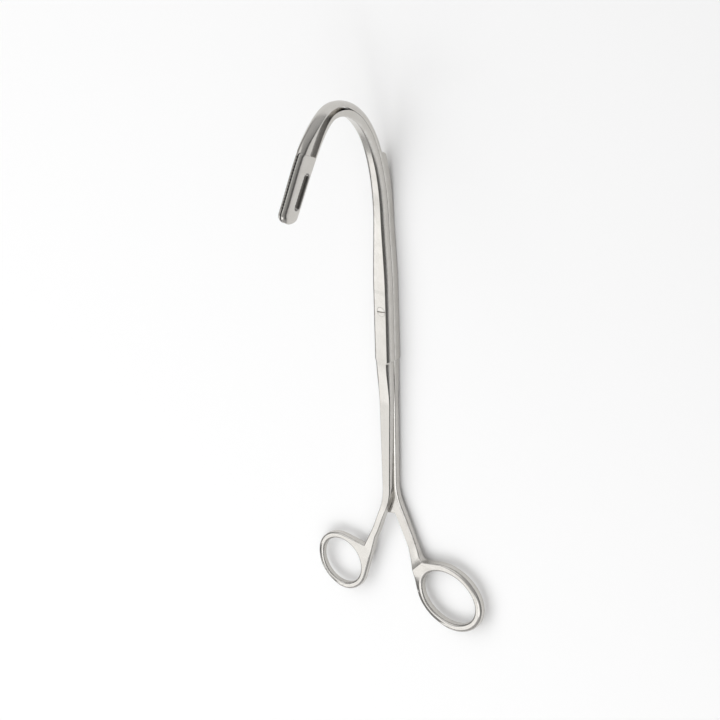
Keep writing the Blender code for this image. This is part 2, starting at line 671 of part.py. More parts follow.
def screw_hole_cutter(collection):
    """Counterbore for the head in the front branch, and the bore on into the rear branch."""
    seat = STACK_THICKNESS - SCREW_HEAD_HEIGHT - SCREW_GAP
    bore = SCREW_SHAFT_RADIUS + SCREW_GAP
    head = SCREW_HEAD_RADIUS + SCREW_GAP
    above = STACK_THICKNESS + CUT_MARGIN
    profile = ((0, above), (head, above), (head, seat), (bore, seat), (bore, SCREW_FLOOR), (0, SCREW_FLOOR))
    return turned("screw_hole_cutter", profile, collection)


def pivot_screw(collection, cutters):
    """Flush slotted screw: crowned head, plain shaft and rounded end."""
    top = STACK_THICKNESS
    seat = top - SCREW_HEAD_HEIGHT
    end = SCREW_FLOOR + SCREW_GAP
    bevel = SCREW_EDGE_BEVEL
    head, shaft = SCREW_HEAD_RADIUS, SCREW_SHAFT_RADIUS
    crown = ((0, top + SCREW_CROWN), (0.5 * head, top + SCREW_CROWN_SHOULDER))
    rim = ((head - bevel, top), (head, top - bevel), (head, seat), (shaft, seat))
    foot = ((shaft, end + bevel), (shaft - bevel, end), (0, end))
    profile = crown + rim + foot
    screw = turned("pivot_screw", profile, collection)
    bpy.ops.mesh.primitive_cube_add(size=1.0)
    cutter = bpy.context.active_object
    cutter.name = "screw_slot_cutter"
    cutter.scale = (4 * SCREW_HEAD_RADIUS, SLOT_CUT_WIDTH, 2 * SLOT_CUT_DEPTH)
    cutter.rotation_euler.z = math.radians(SCREW_SLOT_TURN_DEG)
    cutter.location.z = top + SCREW_CROWN
    for owner in list(cutter.users_collection):
        owner.objects.unlink(cutter)
    cutters.objects.link(cutter)
    boolean(screw, cutter, "DIFFERENCE")
    return screw


def shade(obj):
    obj.data.shade_smooth()
    obj.data.set_sharp_from_angle(angle=math.radians(32))


def main():
    for obj in list(bpy.data.objects):
        bpy.data.objects.remove(obj)
    parts = bpy.data.collections.new("kidney_stone_forceps")
    cutters = bpy.data.collections.new("cutters")
    bpy.context.scene.collection.children.link(parts)
    bpy.context.scene.collection.children.link(cutters)

    slot = slot_cutter(cutters)
    hole = screw_hole_cutter(cutters)

    front = loft("front_branch", front_branch_sections(), parts)
    outline = handle_plate_outline(-1, FRONT_SPLAY_DEG, FRONT_PLATE_START, FRONT_HANDLE_WIDTH, FRONT_NOTCH_Y,
                                   FRONT_RING_CENTRE, FRONT_RING_HALF_AXES, FRONT_RING_TILT_DEG,
                                   FRONT_NOTCH_RADIUS)
    opening = ring_hole(FRONT_RING_CENTRE, FRONT_RING_HALF_AXES, FRONT_RING_TILT_DEG, FRONT_RING_STOCK)
    ring = plate("front_ring", [outline, opening], FRONT_RING_DEPTH, RING_LEVEL, RING_EDGE_RADIUS, cutters)
    boolean(front, ring, "UNION")
    boolean(front, slot, "DIFFERENCE")
    boolean(front, hole, "DIFFERENCE")
    boolean(front, teeth_cutter("front_teeth_cutter", 1, cutters), "DIFFERENCE")

    rear = loft("rear_branch", rear_branch_sections(), parts)
    outline = handle_plate_outline(1, REAR_SPLAY_DEG, REAR_PLATE_START, REAR_HANDLE_WIDTH, REAR_NOTCH_Y,
                                   REAR_RING_CENTRE, REAR_RING_HALF_AXES, REAR_RING_TILT_DEG,
                                   REAR_NOTCH_RADIUS)
    opening = ring_hole(REAR_RING_CENTRE, REAR_RING_HALF_AXES, REAR_RING_TILT_DEG, REAR_RING_STOCK)
    ring = plate("rear_ring", [outline, opening], REAR_RING_DEPTH, RING_LEVEL, RING_EDGE_RADIUS, cutters)
    boolean(rear, ring, "UNION")
    boolean(rear, stop_web(cutters), "UNION")
    boolean(rear, slot, "DIFFERENCE")
    boolean(rear, hole, "DIFFERENCE")
    boolean(rear, teeth_cutter("rear_teeth_cutter", -1, cutters), "DIFFERENCE")

    screw = pivot_screw(parts, cutters)
    for obj, finish in ((front, "front_branch_steel"), (rear, "rear_branch_steel")):
        obj.data.materials.append(material(finish, STEEL, 0.2))
        shade(obj)
    screw.data.materials.append(material("pivot_screw_steel", SCREW_STEEL, 0.3))
    shade(screw)


main()
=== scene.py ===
"""Looks of the kidney stone forceps, fitted round its CAD frame.

Frame: Z is the pivot axis, Z = 0 the flat back of the joint, +Y runs from the finger rings to the hook and +X is
the side of the larger ring. A branch is a rounded section carried along one path: s is the length along it, x goes
across it, and q from its front (concave) face towards its back. A finger ring with its flare is a flat outline
with a rounded rim, and its face is tilted above the crease where the handle runs in.
"""
import sys
import logging
import math
from abc import ABC, abstractmethod
from dataclasses import dataclass, field
from enum import Enum

import bmesh
import bpy
import numpy as np
from mathutils import Matrix, Vector
from mathutils.geometry import tessellate_polygon


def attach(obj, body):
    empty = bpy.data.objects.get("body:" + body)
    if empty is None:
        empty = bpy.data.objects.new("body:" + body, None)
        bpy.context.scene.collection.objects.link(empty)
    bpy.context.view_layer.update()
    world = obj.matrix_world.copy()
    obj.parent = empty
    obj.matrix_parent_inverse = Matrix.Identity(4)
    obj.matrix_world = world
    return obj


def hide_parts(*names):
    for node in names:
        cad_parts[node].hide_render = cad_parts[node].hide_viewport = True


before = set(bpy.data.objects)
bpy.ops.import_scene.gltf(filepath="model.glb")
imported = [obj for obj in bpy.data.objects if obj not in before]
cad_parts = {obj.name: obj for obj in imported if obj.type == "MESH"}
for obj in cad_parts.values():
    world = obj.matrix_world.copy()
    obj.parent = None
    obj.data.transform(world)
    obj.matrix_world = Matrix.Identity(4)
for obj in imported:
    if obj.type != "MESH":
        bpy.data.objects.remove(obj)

MM = 0.001
Array = np.ndarray
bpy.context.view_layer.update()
LOG = logging.getLogger("forceps")

# Sizes that both branches share
STACK = 7.4 * MM
FRONT_HALF = 3.55 * MM
CAD_GAP = 0.3 * MM
SEEN_GAP = 0.1 * MM
JAW_GAP = 0.5 * MM
JOINT_TOP = 8.0 * MM
JOINT_BOTTOM = -21.5 * MM

# Limits and finenesses of the meshes
SUPPORT = 0.05 * MM
SUPPORT_LIMIT = 0.25
EDGE_MASK_RADIUS = 1.2 * MM
RAMP_SOFTNESS = 0.03
CORNER_STEPS = 10
CORNER_LIMIT = 0.98
SIDE_FACES = 3
TURNED_STEPS = 96
SHARP_ANGLE = math.radians(34.0)
CUT_MARGIN = 1.0 * MM
CREASE_MARGIN = 0.01 * MM
MERGE_DISTANCE = 1e-7
TINY = 1e-9


class Side(Enum):
    """Side of the forceps on which a branch has its ring."""

    REAR = 1
    FRONT = -1


def ease(value: Array, start: float, end: float) -> Array:
    """S-shaped rise 3t^2 - 2t^3 with t = (value - start) / (end - start), held at 0 and 1 outside.

    Args:
        value: Places at which to work it out.
        start: Place where the rise starts.
        end: Place where it ends.

    Returns:
        The rise at each place, from 0 to 1.
    """
    t = np.clip((np.asarray(value, float) - start) / (end - start), 0.0, 1.0)
    return t * t * (3.0 - 2.0 * t)


def mix(a: Array, b: Array, t: Array) -> Array:
    """Straight mix a + (b - a) t."""
    return a + (b - a) * t


def soft_ramp(t: Array) -> Array:
    """Ramp that is 0 below t = 0 and t above it, rounded at the bend: (t + sqrt(t^2 + softness^2)) / 2."""
    return 0.5 * (t + np.sqrt(t * t + RAMP_SOFTNESS * RAMP_SOFTNESS))


def cubic(p0: Array, p1: Array, p2: Array, p3: Array, count: int) -> Array:
    """Points of the cubic (1-t)^3 p0 + 3(1-t)^2 t p1 + 3(1-t) t^2 p2 + t^3 p3.

    Args:
        p0: First end.
        p1: First handle.
        p2: Second handle.
        p3: Second end.
        count: Number of points.

    Returns:
        Points, one row each.
    """
    t = np.linspace(0.0, 1.0, count)[:, None]
    p0, p1, p2, p3 = (np.array(p) for p in (p0, p1, p2, p3))
    return (1 - t) ** 3 * p0 + 3 * (1 - t) ** 2 * t * p1 + 3 * (1 - t) * t * t * p2 + t ** 3 * p3


def cove(t: Array, length: float, rise: float, slope: float, reach: float) -> Array:
    """Share of the rise from a handle's start to its crease: 1 - (a r (1 - exp(-t / r)) + b t) / rise.

    The slope a fades away from the crease over the reach r, and b is what is left so that the share is 0 at the
    handle's start.

    Args:
        t: Distance above the crease.
        length: Distance from the crease to the handle's start.
        rise: Height between the two.
        slope: Slope a at the crease.
        reach: Reach r of the cove.

    Returns:
        The share, from 0 at the start to 1 at the crease and past it.
    """
    bend = slope * reach
    rest = (rise - bend * (1.0 - math.exp(-length / reach))) / length
    t = np.clip(t, 0.0, length)
    share = 1.0 - (bend * (1.0 - np.exp(-t / reach)) + rest * t) / rise
    return np.minimum(1.0, soft_ramp(share))


# ---- Paths


@dataclass
class HookPath:
    """Line of the hook's concave face in the plane X = 0: two cubics that meet at the apex."""

    start_y: float = 38.5 * MM
    start_pull: float = 41.6 * MM
    apex: tuple[float, float] = (95.7 * MM, 33.6 * MM)
    pull_below: float = 9.0 * MM
    pull_above: float = 8.0 * MM
    tip: tuple[float, float] = (60.5 * MM, 59.9 * MM)
    tip_pull: float = 14.0 * MM
    tip_slope: float = math.radians(33.0)
    samples: int = 1201
    along: Array = field(init=False)
    line: Array = field(init=False)
    heading: Array = field(init=False)
    apex_at: float = field(init=False)

    def __post_init__(self) -> None:
        """Work out the line, the length along it and its heading."""
        way = np.array([-math.cos(self.tip_slope), math.sin(self.tip_slope)])
        before_tip = np.array(self.tip) - self.tip_pull * way
        rise = cubic((self.start_y, STACK), (self.start_y + self.start_pull, STACK),
                     (self.apex[0], self.apex[1] - self.pull_below), self.apex, self.samples)
        fall = cubic(self.apex, (self.apex[0], self.apex[1] + self.pull_above), before_tip, self.tip,
                     self.samples)
        self.line = np.vstack([rise, fall[1:]])
        run = np.concatenate([[0.0], np.cumsum(np.linalg.norm(np.diff(self.line, axis=0), axis=1))])
        self.along = run + self.start_y
        self.apex_at = float(self.along[self.samples - 1])
        self.heading = np.unwrap(np.arctan2(np.gradient(self.line[:, 1]), np.gradient(self.line[:, 0])))


@dataclass
class BranchPath:
    """Path of a branch: the hook, the straight joint and shank, an arc outwards and a straight run."""

    side: Side
    splay_start: float
    splay: float
    splay_radius: float = 27.0 * MM
    hook: HookPath = field(default_factory=HookPath)

    def frames(self, s: Array) -> tuple[Array, Array, Array]:
        """Origins and axes of the sections.

        On the hook the origin follows its line. On the splay of radius R turned by a, the origin has gone
        R (1 - cos a) outwards and R sin a down, and then runs straight on.

        Args:
            s: Places along the path.

        Returns:
            Origins, x axes and q axes, one row for each place.
        """
        s = np.asarray(s, float)
        on_hook = s > self.hook.start_y
        y = np.where(on_hook, np.interp(s, self.hook.along, self.hook.line[:, 0]), s)
        z = np.where(on_hook, np.interp(s, self.hook.along, self.hook.line[:, 1]), STACK)
        heading = np.where(on_hook, np.interp(s, self.hook.along, self.hook.heading), 0.0)
        run = np.maximum(0.0, self.splay_start - s)
        turn = np.minimum(self.splay, run / self.splay_radius)
        rest = np.maximum(0.0, run - self.splay_radius * self.splay)
        x = self.side.value * (self.splay_radius * (1 - np.cos(turn)) + rest * np.sin(turn))
        bent = self.splay_start - self.splay_radius * np.sin(turn) - rest * np.cos(turn)
        y = np.where(run > 0.0, bent, y)
        zero = np.zeros_like(s)
        origin = np.stack([x, y, z], axis=-1)
        x_axis = np.stack([np.cos(turn), self.side.value * np.sin(turn), zero], axis=-1)
        q_axis = np.stack([zero, np.sin(heading), -np.cos(heading)], axis=-1)
        return origin, x_axis, q_axis


# ---- Meshes


def rounded_outlines(x0: Array, x1: Array, q0: Array, q1: Array, radii: Array,
                     flatness: Array | None = None) -> tuple[Array, Array]:
    """Closed outlines with an elliptic corner at (x0,q0), (x1,q0), (x1,q1) and (x0,q1).

    A corner point is (mx + rx cos a, mq + rq sin a) about the corner's middle, for a quarter turn of a, and moves
    towards the corner's chord where it is flattened to a bevel. Each flat side gets a point just past either
    corner, which keeps its shading flat.

    Args:
        x0: Lowest x of each section.
        x1: Highest x.
        q0: Lowest q.
        q1: Highest q.
        radii: Radii of the corners, as (corner, x or q, section).
        flatness: How far each corner is flattened, from 0 to 1, as (corner, section).

    Returns:
        Points as (section, point, x or q), and how much of an edge each point is, from 0 to 1.
    """
    rx, rq = radii[:, 0], radii[:, 1]
    rx = rx * np.minimum(1.0, CORNER_LIMIT * (x1 - x0) / np.maximum(rx + rx[[1, 0, 3, 2]], TINY))
    rq = rq * np.minimum(1.0, CORNER_LIMIT * (q1 - q0) / np.maximum(rq + rq[[3, 2, 1, 0]], TINY))
    mx = np.stack([x0 + rx[0], x1 - rx[1], x1 - rx[2], x0 + rx[3]])
    mq = np.stack([q0 + rq[0], q0 + rq[1], q1 - rq[2], q1 - rq[3]])
    share = np.linspace(0.0, 1.0, CORNER_STEPS + 1)
    angle = np.radians([180.0, 270.0, 0.0, 90.0])[:, None] + 0.5 * np.pi * share
    arc_x = mx[:, :, None] + rx[:, :, None] * np.cos(angle)[:, None, :]
    arc_q = mq[:, :, None] + rq[:, :, None] * np.sin(angle)[:, None, :]
    arcs = np.stack([arc_x, arc_q], axis=-1)
    if flatness is not None:
        chord = mix(arcs[:, :, :1], arcs[:, :, -1:], share[:, None])
        arcs = mix(arcs, chord, flatness[:, :, None, None])
    ends, starts = arcs[:, :, -1], np.roll(arcs[:, :, 0], -1, axis=0)
    side = starts - ends
    length = np.maximum(np.linalg.norm(side, axis=-1, keepdims=True), TINY)
    part = side * np.minimum(SUPPORT_LIMIT, SUPPORT / length)
    full = np.concatenate([arcs, (ends + part)[:, :, None], (starts - part)[:, :, None]], axis=2)
    sharp = np.clip(EDGE_MASK_RADIUS / np.maximum(0.5 * (rx + rq), TINY), 0.0, 1.0) ** 2
    hump = np.concatenate([1.0 - (2.0 * share - 1.0) ** 2, [0.0, 0.0]])
    mask = sharp[:, :, None] * hump[None, None, :]
    count = x0.shape[0]
    return (full.transpose(1, 0, 2, 3).reshape(count, -1, 2), mask.transpose(1, 0, 2).reshape(count, -1))


def grid_quads(rows: int, columns: int, closed: bool) -> Array:
    """Quads of a grid of vertices that are numbered row by row.

    Args:
        rows: Number of rows.
        columns: Number of vertices in each row.
        closed: Whether each row is joined round to its start.

    Returns:
        Vertex numbers, one row for each quad.
    """
    index = np.arange(rows * columns).reshape(rows, columns)
    if closed:
        index = np.hstack([index, index[:, :1]])
    return np.stack([index[:-1, :-1], index[:-1, 1:], index[1:, 1:], index[1:, :-1]], axis=-1).reshape(-1, 4)


def set_attribute(mesh: bpy.types.Mesh, name: str, values: Array, domain: str = "POINT") -> None:
    """Store one number, or one vector, for each vertex or face.

    Args:
        mesh: Mesh that gets them.
        name: Name by which a material reads them.
        values: One row for each vertex or face.
        domain: POINT for vertices and FACE for faces.
    """
    vector = values.ndim > 1
    layer = mesh.attributes.new(name, "FLOAT_VECTOR" if vector else "FLOAT", domain)
    layer.data.foreach_set("vector" if vector else "value", np.ascontiguousarray(values, np.float32).ravel())


def shade(mesh: bpy.types.Mesh) -> None:
    """Shade the faces smooth and keep the sharp edges."""
    mesh.shade_smooth()
    mesh.set_sharp_from_angle(angle=SHARP_ANGLE)


def orient(mesh: bpy.types.Mesh) -> None:
    """Turn all faces outwards and shade them.

    Args:
        mesh: Mesh whose faces are turned.
    """
    bm = bmesh.new()
    bm.from_mesh(mesh)
    bmesh.ops.recalc_face_normals(bm, faces=bm.faces)
    bm.to_mesh(mesh)
    bm.free()
    shade(mesh)


def closed_tube(points: Array) -> list[list[int]]:
    """Faces of a closed body whose cross-sections are the rows of a grid, with a cap at either end.

    Args:
        points: Points as (row, column, axis).

    Returns:
        Vertex numbers of each face, those of the caps last.
    """
    rows, columns = points.shape[:2]
    last = (rows - 1) * columns
    return grid_quads(rows, columns, True).tolist() + [list(range(columns)), list(range(last, last + columns))]


def add_object(name: str, data: bpy.types.ID) -> bpy.types.Object:
    """Make an object and link it to the scene.

    Args:
        name: Name of the object.
        data: Its mesh, light or camera.

    Returns:
        The object.
    """
    made = bpy.data.objects.new(name, data)
    bpy.context.scene.collection.objects.link(made)
    return made


def make_piece(name: str, points: Array, faces: list, painted_shade: Array | float = 0.0,
               **layers: Array) -> bpy.types.Object:
    """Make an object from points and faces.

    Args:
        name: Name of the piece.
        points: One row for each vertex.
        faces: Vertex numbers of each face.
        painted_shade: For each face, or for all of them, 1 where the material paints it darker as shade, in a
            recess or between parts.
        **layers: Attributes by name, one row for each vertex.

    Returns:
        The object, linked to the scene, with its faces turned outwards.
    """
    mesh = bpy.data.meshes.new(name)
    mesh.from_pydata(points.reshape(-1, 3).tolist(), [], faces)
    for layer, values in layers.items():
        set_attribute(mesh, layer, values)
    # Painted shade: faces marked 1 get a darker colour, standing in for the shade in recesses and between parts.
    set_attribute(mesh, "painted_shade", np.broadcast_to(painted_shade, len(mesh.polygons)), "FACE")
    orient(mesh)
    return add_object(name, mesh)


def carve(piece: bpy.types.Object, cutter: bpy.types.Object) -> None:
    """Cut one closed body out of another and remove the cutter.

    Args:
        piece: Body that is cut.
        cutter: Body that is taken away.
    """
    change = piece.modifiers.new("carve", "BOOLEAN")
    change.operation = "DIFFERENCE"
    change.solver = "EXACT"
    change.object = cutter
    bpy.context.view_layer.update()
    evaluated = piece.evaluated_get(bpy.context.evaluated_depsgraph_get())
    mesh = bpy.data.meshes.new_from_object(evaluated)
    piece.modifiers.clear()
    piece.data = mesh
    bpy.data.objects.remove(cutter)
    shade(mesh)


def revolve(name: str, profile: list[tuple[float, float]]) -> bpy.types.Object:
    """Body of revolution about Z: the profile (r, z) becomes (r cos a, r sin a, z).

    Args:
        name: Name of the piece.
        profile: Radius and height of each point, starting and ending on the axis.

    Returns:
        The closed body.
    """
    rows = np.array(profile)
    angle = np.linspace(0.0, 2 * np.pi, TURNED_STEPS, endpoint=False)
    ring = rows[1:-1]
    grid = np.stack([ring[:, :1] * np.cos(angle), ring[:, :1] * np.sin(angle),
                     np.repeat(ring[:, 1:], TURNED_STEPS, axis=1)], axis=-1)
    points = np.vstack([grid.reshape(-1, 3), [[0, 0, rows[0, 1]], [0, 0, rows[-1, 1]]]])
    faces = grid_quads(len(ring), TURNED_STEPS, True).tolist()
    first = np.arange(TURNED_STEPS)
    last = first + (len(ring) - 1) * TURNED_STEPS
    for edge, pole in ((first, len(points) - 2), (last, len(points) - 1)):
        faces += np.stack([edge, np.roll(edge, -1), np.full(TURNED_STEPS, pole)], axis=-1).tolist()
    return make_piece(name, points, faces, edge=np.zeros(len(points)), grain=points)


def loft(name: str, path: BranchPath, s: Array, outlines: Array, mask: Array,
         painted_shade: list[tuple[int, float, float]]) -> bpy.types.Object:
    """Body through outlines set across a path: point = origin + x_axis x + q_axis q.

    Args:
        name: Name of the piece.
        path: Path that it follows.
        s: Place of each outline along the path.
        outlines: Points as (section, point, x or q).
        mask: How much of an edge each point is.
        painted_shade: Flat sides painted darker as shade between parts, as (corner before the side, first s, last
            s).

    Returns:
        The closed body, with its grain attribute (x, s, q) laid along the branch.
    """
    origin, x_axis, q_axis = path.frames(s)
    points = (origin[:, None] + outlines[..., :1] * x_axis[:, None] + outlines[..., 1:] * q_axis[:, None])
    rows, columns = outlines.shape[:2]
    grain = np.stack([outlines[..., 0], np.repeat(s[:, None], columns, axis=1), outlines[..., 1]], axis=-1)
    # Painted shade: the flat sides that face the window and the other jaw are marked to be painted darker.
    recess_shade = np.zeros((rows - 1, columns))
    middle = 0.5 * (s[1:] + s[:-1])
    per_corner = columns // 4
    for corner, first, last in painted_shade:
        next_corner = (corner + 1) * per_corner
        recess_shade[(middle > first) & (middle < last), next_corner - SIDE_FACES:next_corner] = 1.0
    shaded_faces = np.append(recess_shade.ravel(), [0.0, 0.0])
    return make_piece(name, points, closed_tube(points), shaded_faces, edge=mask.ravel(), grain=grain.reshape(-1, 3))


# ---- Finishes


def add_group(name: str, inputs: dict[str, tuple[str, object]], outputs: dict[str, str]) -> bpy.types.NodeTree:
    """Start a shader node group with named inputs and outputs.

    Args:
        name: Name of the group.
        inputs: Socket type and value of each input.
        outputs: Socket type of each output.

    Returns:
        The group, with its input and output nodes in it.
    """
    group = bpy.data.node_groups.new(name, "ShaderNodeTree")
    for label, (kind, value) in inputs.items():
        made = group.interface.new_socket(name=label, in_out="INPUT", socket_type=kind)
        if value is not None:
            made.default_value = value
    for label, kind in outputs.items():
        group.interface.new_socket(name=label, in_out="OUTPUT", socket_type=kind)
    group.nodes.new("NodeGroupInput").name = "in"
    group.nodes.new("NodeGroupOutput").name = "out"
    return group


def add_node(tree: bpy.types.NodeTree, kind: str, links: dict[object, object] | None = None,
             **settings: object) -> bpy.types.Node:
    """Add a node, set it up and wire its inputs.

    Args:
        tree: Tree that gets the node.
        kind: Type of the node.
        links: For each input, by name or number, a socket to link or a value to set.
        **settings: Properties of the node.

    Returns:
        The node.
    """
    node = tree.nodes.new(kind)
    for key, value in settings.items():
        setattr(node, key, value)
    for key, value in (links or {}).items():
        if isinstance(value, bpy.types.NodeSocket):
            tree.links.new(value, node.inputs[key])
        else:
            node.inputs[key].default_value = value
    return node


def add_math(tree: bpy.types.NodeTree, operation: str, *values: object,
             **settings: object) -> bpy.types.NodeSocket:
    """Socket with the result of one operation on sockets or numbers."""
    return add_node(tree, "ShaderNodeMath", dict(enumerate(values)), operation=operation, **settings).outputs[0]


def add_ramp(tree: bpy.types.NodeTree, value: bpy.types.NodeSocket, source: tuple[float, float],
             target: tuple[float, float] = (0.0, 1.0), **settings: object) -> bpy.types.NodeSocket:
    """Map a value from one range to another and hold it there.

    Args:
        tree: Tree that gets the node.
        value: Socket with the value.
        source: Range that it comes from.
        target: Range that it is mapped to.
        **settings: Properties of the node.

    Returns:
        Socket with the result.
    """
    ends = {"From Min": source[0], "From Max": source[1], "To Min": target[0], "To Max": target[1]}
    return add_node(tree, "ShaderNodeMapRange", {"Value": value, **ends}, **settings).outputs[0]


def add_tint(tree: bpy.types.NodeTree, amount: bpy.types.NodeSocket, ground: object,
             tint: tuple[float, float, float]) -> bpy.types.NodeSocket:
    """Socket with a ground colour mixed with a tint: ground + (tint - ground) amount."""
    colours = {"Factor": amount, 6: ground, 7: (*tint, 1.0)}
    return add_node(tree, "ShaderNodeMix", colours, data_type="RGBA").outputs[2]


def polish_group() -> bpy.types.NodeTree:
    """Marks of hand polishing: fine lines drawn out along the branch, and a soft haze.

    Returns:
        Group with outputs Lines and Haze, both from 0 to 1.
    """
    inputs = {"Vector": ("NodeSocketVector", None), "Fineness": ("NodeSocketFloat", 5000.0),
              "Stretch": ("NodeSocketFloat", 14.0), "Haze Size": ("NodeSocketFloat", 160.0)}
    group = add_group("hand_polish", inputs, {"Lines": "NodeSocketFloat", "Haze": "NodeSocketFloat"})
    source, out = group.nodes["in"].outputs, group.nodes["out"].inputs
    fine, drawn = source["Fineness"], add_math(group, "DIVIDE", source["Fineness"], source["Stretch"])
    scale = add_node(group, "ShaderNodeCombineXYZ", {"X": fine, "Y": drawn, "Z": fine})
    lines_at = add_node(group, "ShaderNodeVectorMath", {0: source["Vector"], 1: scale.outputs[0]},
                        operation="MULTIPLY")
    lines = add_node(group, "ShaderNodeTexNoise", {"Vector": lines_at.outputs[0], "Scale": 1.0, "Detail": 3.0,
                                                   "Roughness": 0.6})
    haze = add_node(group, "ShaderNodeTexNoise", {"Vector": source["Vector"], "Scale": source["Haze Size"],
                                                  "Detail": 4.0, "Roughness": 0.55})
    group.links.new(lines.outputs["Fac"], out["Lines"])
    group.links.new(add_ramp(group, haze.outputs["Fac"], (0.3, 0.7)), out["Haze"])
    return group


def wear_group() -> bpy.types.NodeTree:
    """Handling wear: the edge mask broken up by a noise, so that edges are burnished in places.

    Returns:
        Group with output Wear, from 0 to 1.
    """
    inputs = {"Vector": ("NodeSocketVector", None), "Mask": ("NodeSocketFloat", 0.0),
              "Patch Size": ("NodeSocketFloat", 420.0)}
    group = add_group("edge_burnish", inputs, {"Wear": "NodeSocketFloat"})
    source, out = group.nodes["in"].outputs, group.nodes["out"].inputs
    patch = add_node(group, "ShaderNodeTexNoise", {"Vector": source["Vector"], "Scale": source["Patch Size"],
                                                   "Detail": 3.0})
    kept = add_ramp(group, patch.outputs["Fac"], (0.35, 0.6))
    group.links.new(add_math(group, "MULTIPLY", source["Mask"], kept, use_clamp=True), out["Wear"])
    return group


@dataclass(frozen=True)
class SteelFinish:
    """Polished stainless steel with fine lines, a soft haze, burnished edges and painted shade on faces in
    recesses.
    """

    name: str
    colour: tuple[float, float, float] = (0.61, 0.592, 0.562)
    hazed: tuple[float, float, float] = (0.565, 0.545, 0.512)
    burnished: tuple[float, float, float] = (0.66, 0.645, 0.62)
    # Darker colour painted as shade on the slot, the teeth, the window and the facing sides of the jaws.
    recess_shade: tuple[float, float, float] = (0.37, 0.36, 0.345)
    roughness: float = 0.14
    line_roughness: float = 0.05
    haze_roughness: float = 0.05
    fineness: float = 5000.0
    stretch: float = 14.0
    bump: float = 0.12
    bump_height: float = 0.004 * MM

    def make(self, polish: bpy.types.NodeTree, wear: bpy.types.NodeTree) -> bpy.types.Material:
        """Build the material.

        Args:
            polish: Group that gives the lines and the haze.
            wear: Group that gives the burnished edges.

        Returns:
            The material.
        """
        steel = bpy.data.materials.new(self.name)
        steel.use_nodes = True
        tree = steel.node_tree
        shader = tree.nodes["Principled BSDF"]
        shader.inputs["Metallic"].default_value = 1.0
        grain, edge, painted_shade = (add_node(tree, "ShaderNodeAttribute", attribute_name=layer).outputs
                            for layer in ("grain", "edge", "painted_shade"))
        marks = add_node(tree, "ShaderNodeGroup", node_tree=polish)
        burnish = add_node(tree, "ShaderNodeGroup", node_tree=wear)
        tree.links.new(grain["Vector"], marks.inputs["Vector"])
        marks.inputs["Fineness"].default_value = self.fineness
        marks.inputs["Stretch"].default_value = self.stretch
        tree.links.new(grain["Vector"], burnish.inputs["Vector"])
        tree.links.new(edge["Fac"], burnish.inputs["Mask"])
        lines, haze = marks.outputs["Lines"], marks.outputs["Haze"]
        clean = add_tint(tree, haze, (*self.colour, 1.0), self.hazed)
        bright = add_tint(tree, burnish.outputs["Wear"], clean, self.burnished)
        # Painted shade: marked faces in recesses and between parts take the darker colour.
        tree.links.new(add_tint(tree, painted_shade["Fac"], bright, self.recess_shade), shader.inputs["Base Color"])
        lined = add_math(tree, "MULTIPLY_ADD", lines, self.line_roughness, self.roughness)
        hazy = add_math(tree, "MULTIPLY_ADD", haze, self.haze_roughness, lined)
        tree.links.new(hazy, shader.inputs["Roughness"])
        bump = add_node(tree, "ShaderNodeBump", {"Height": lines, "Strength": self.bump,
                                                 "Distance": self.bump_height})
        tree.links.new(bump.outputs[0], shader.inputs["Normal"])
        return steel


# ---- Branches


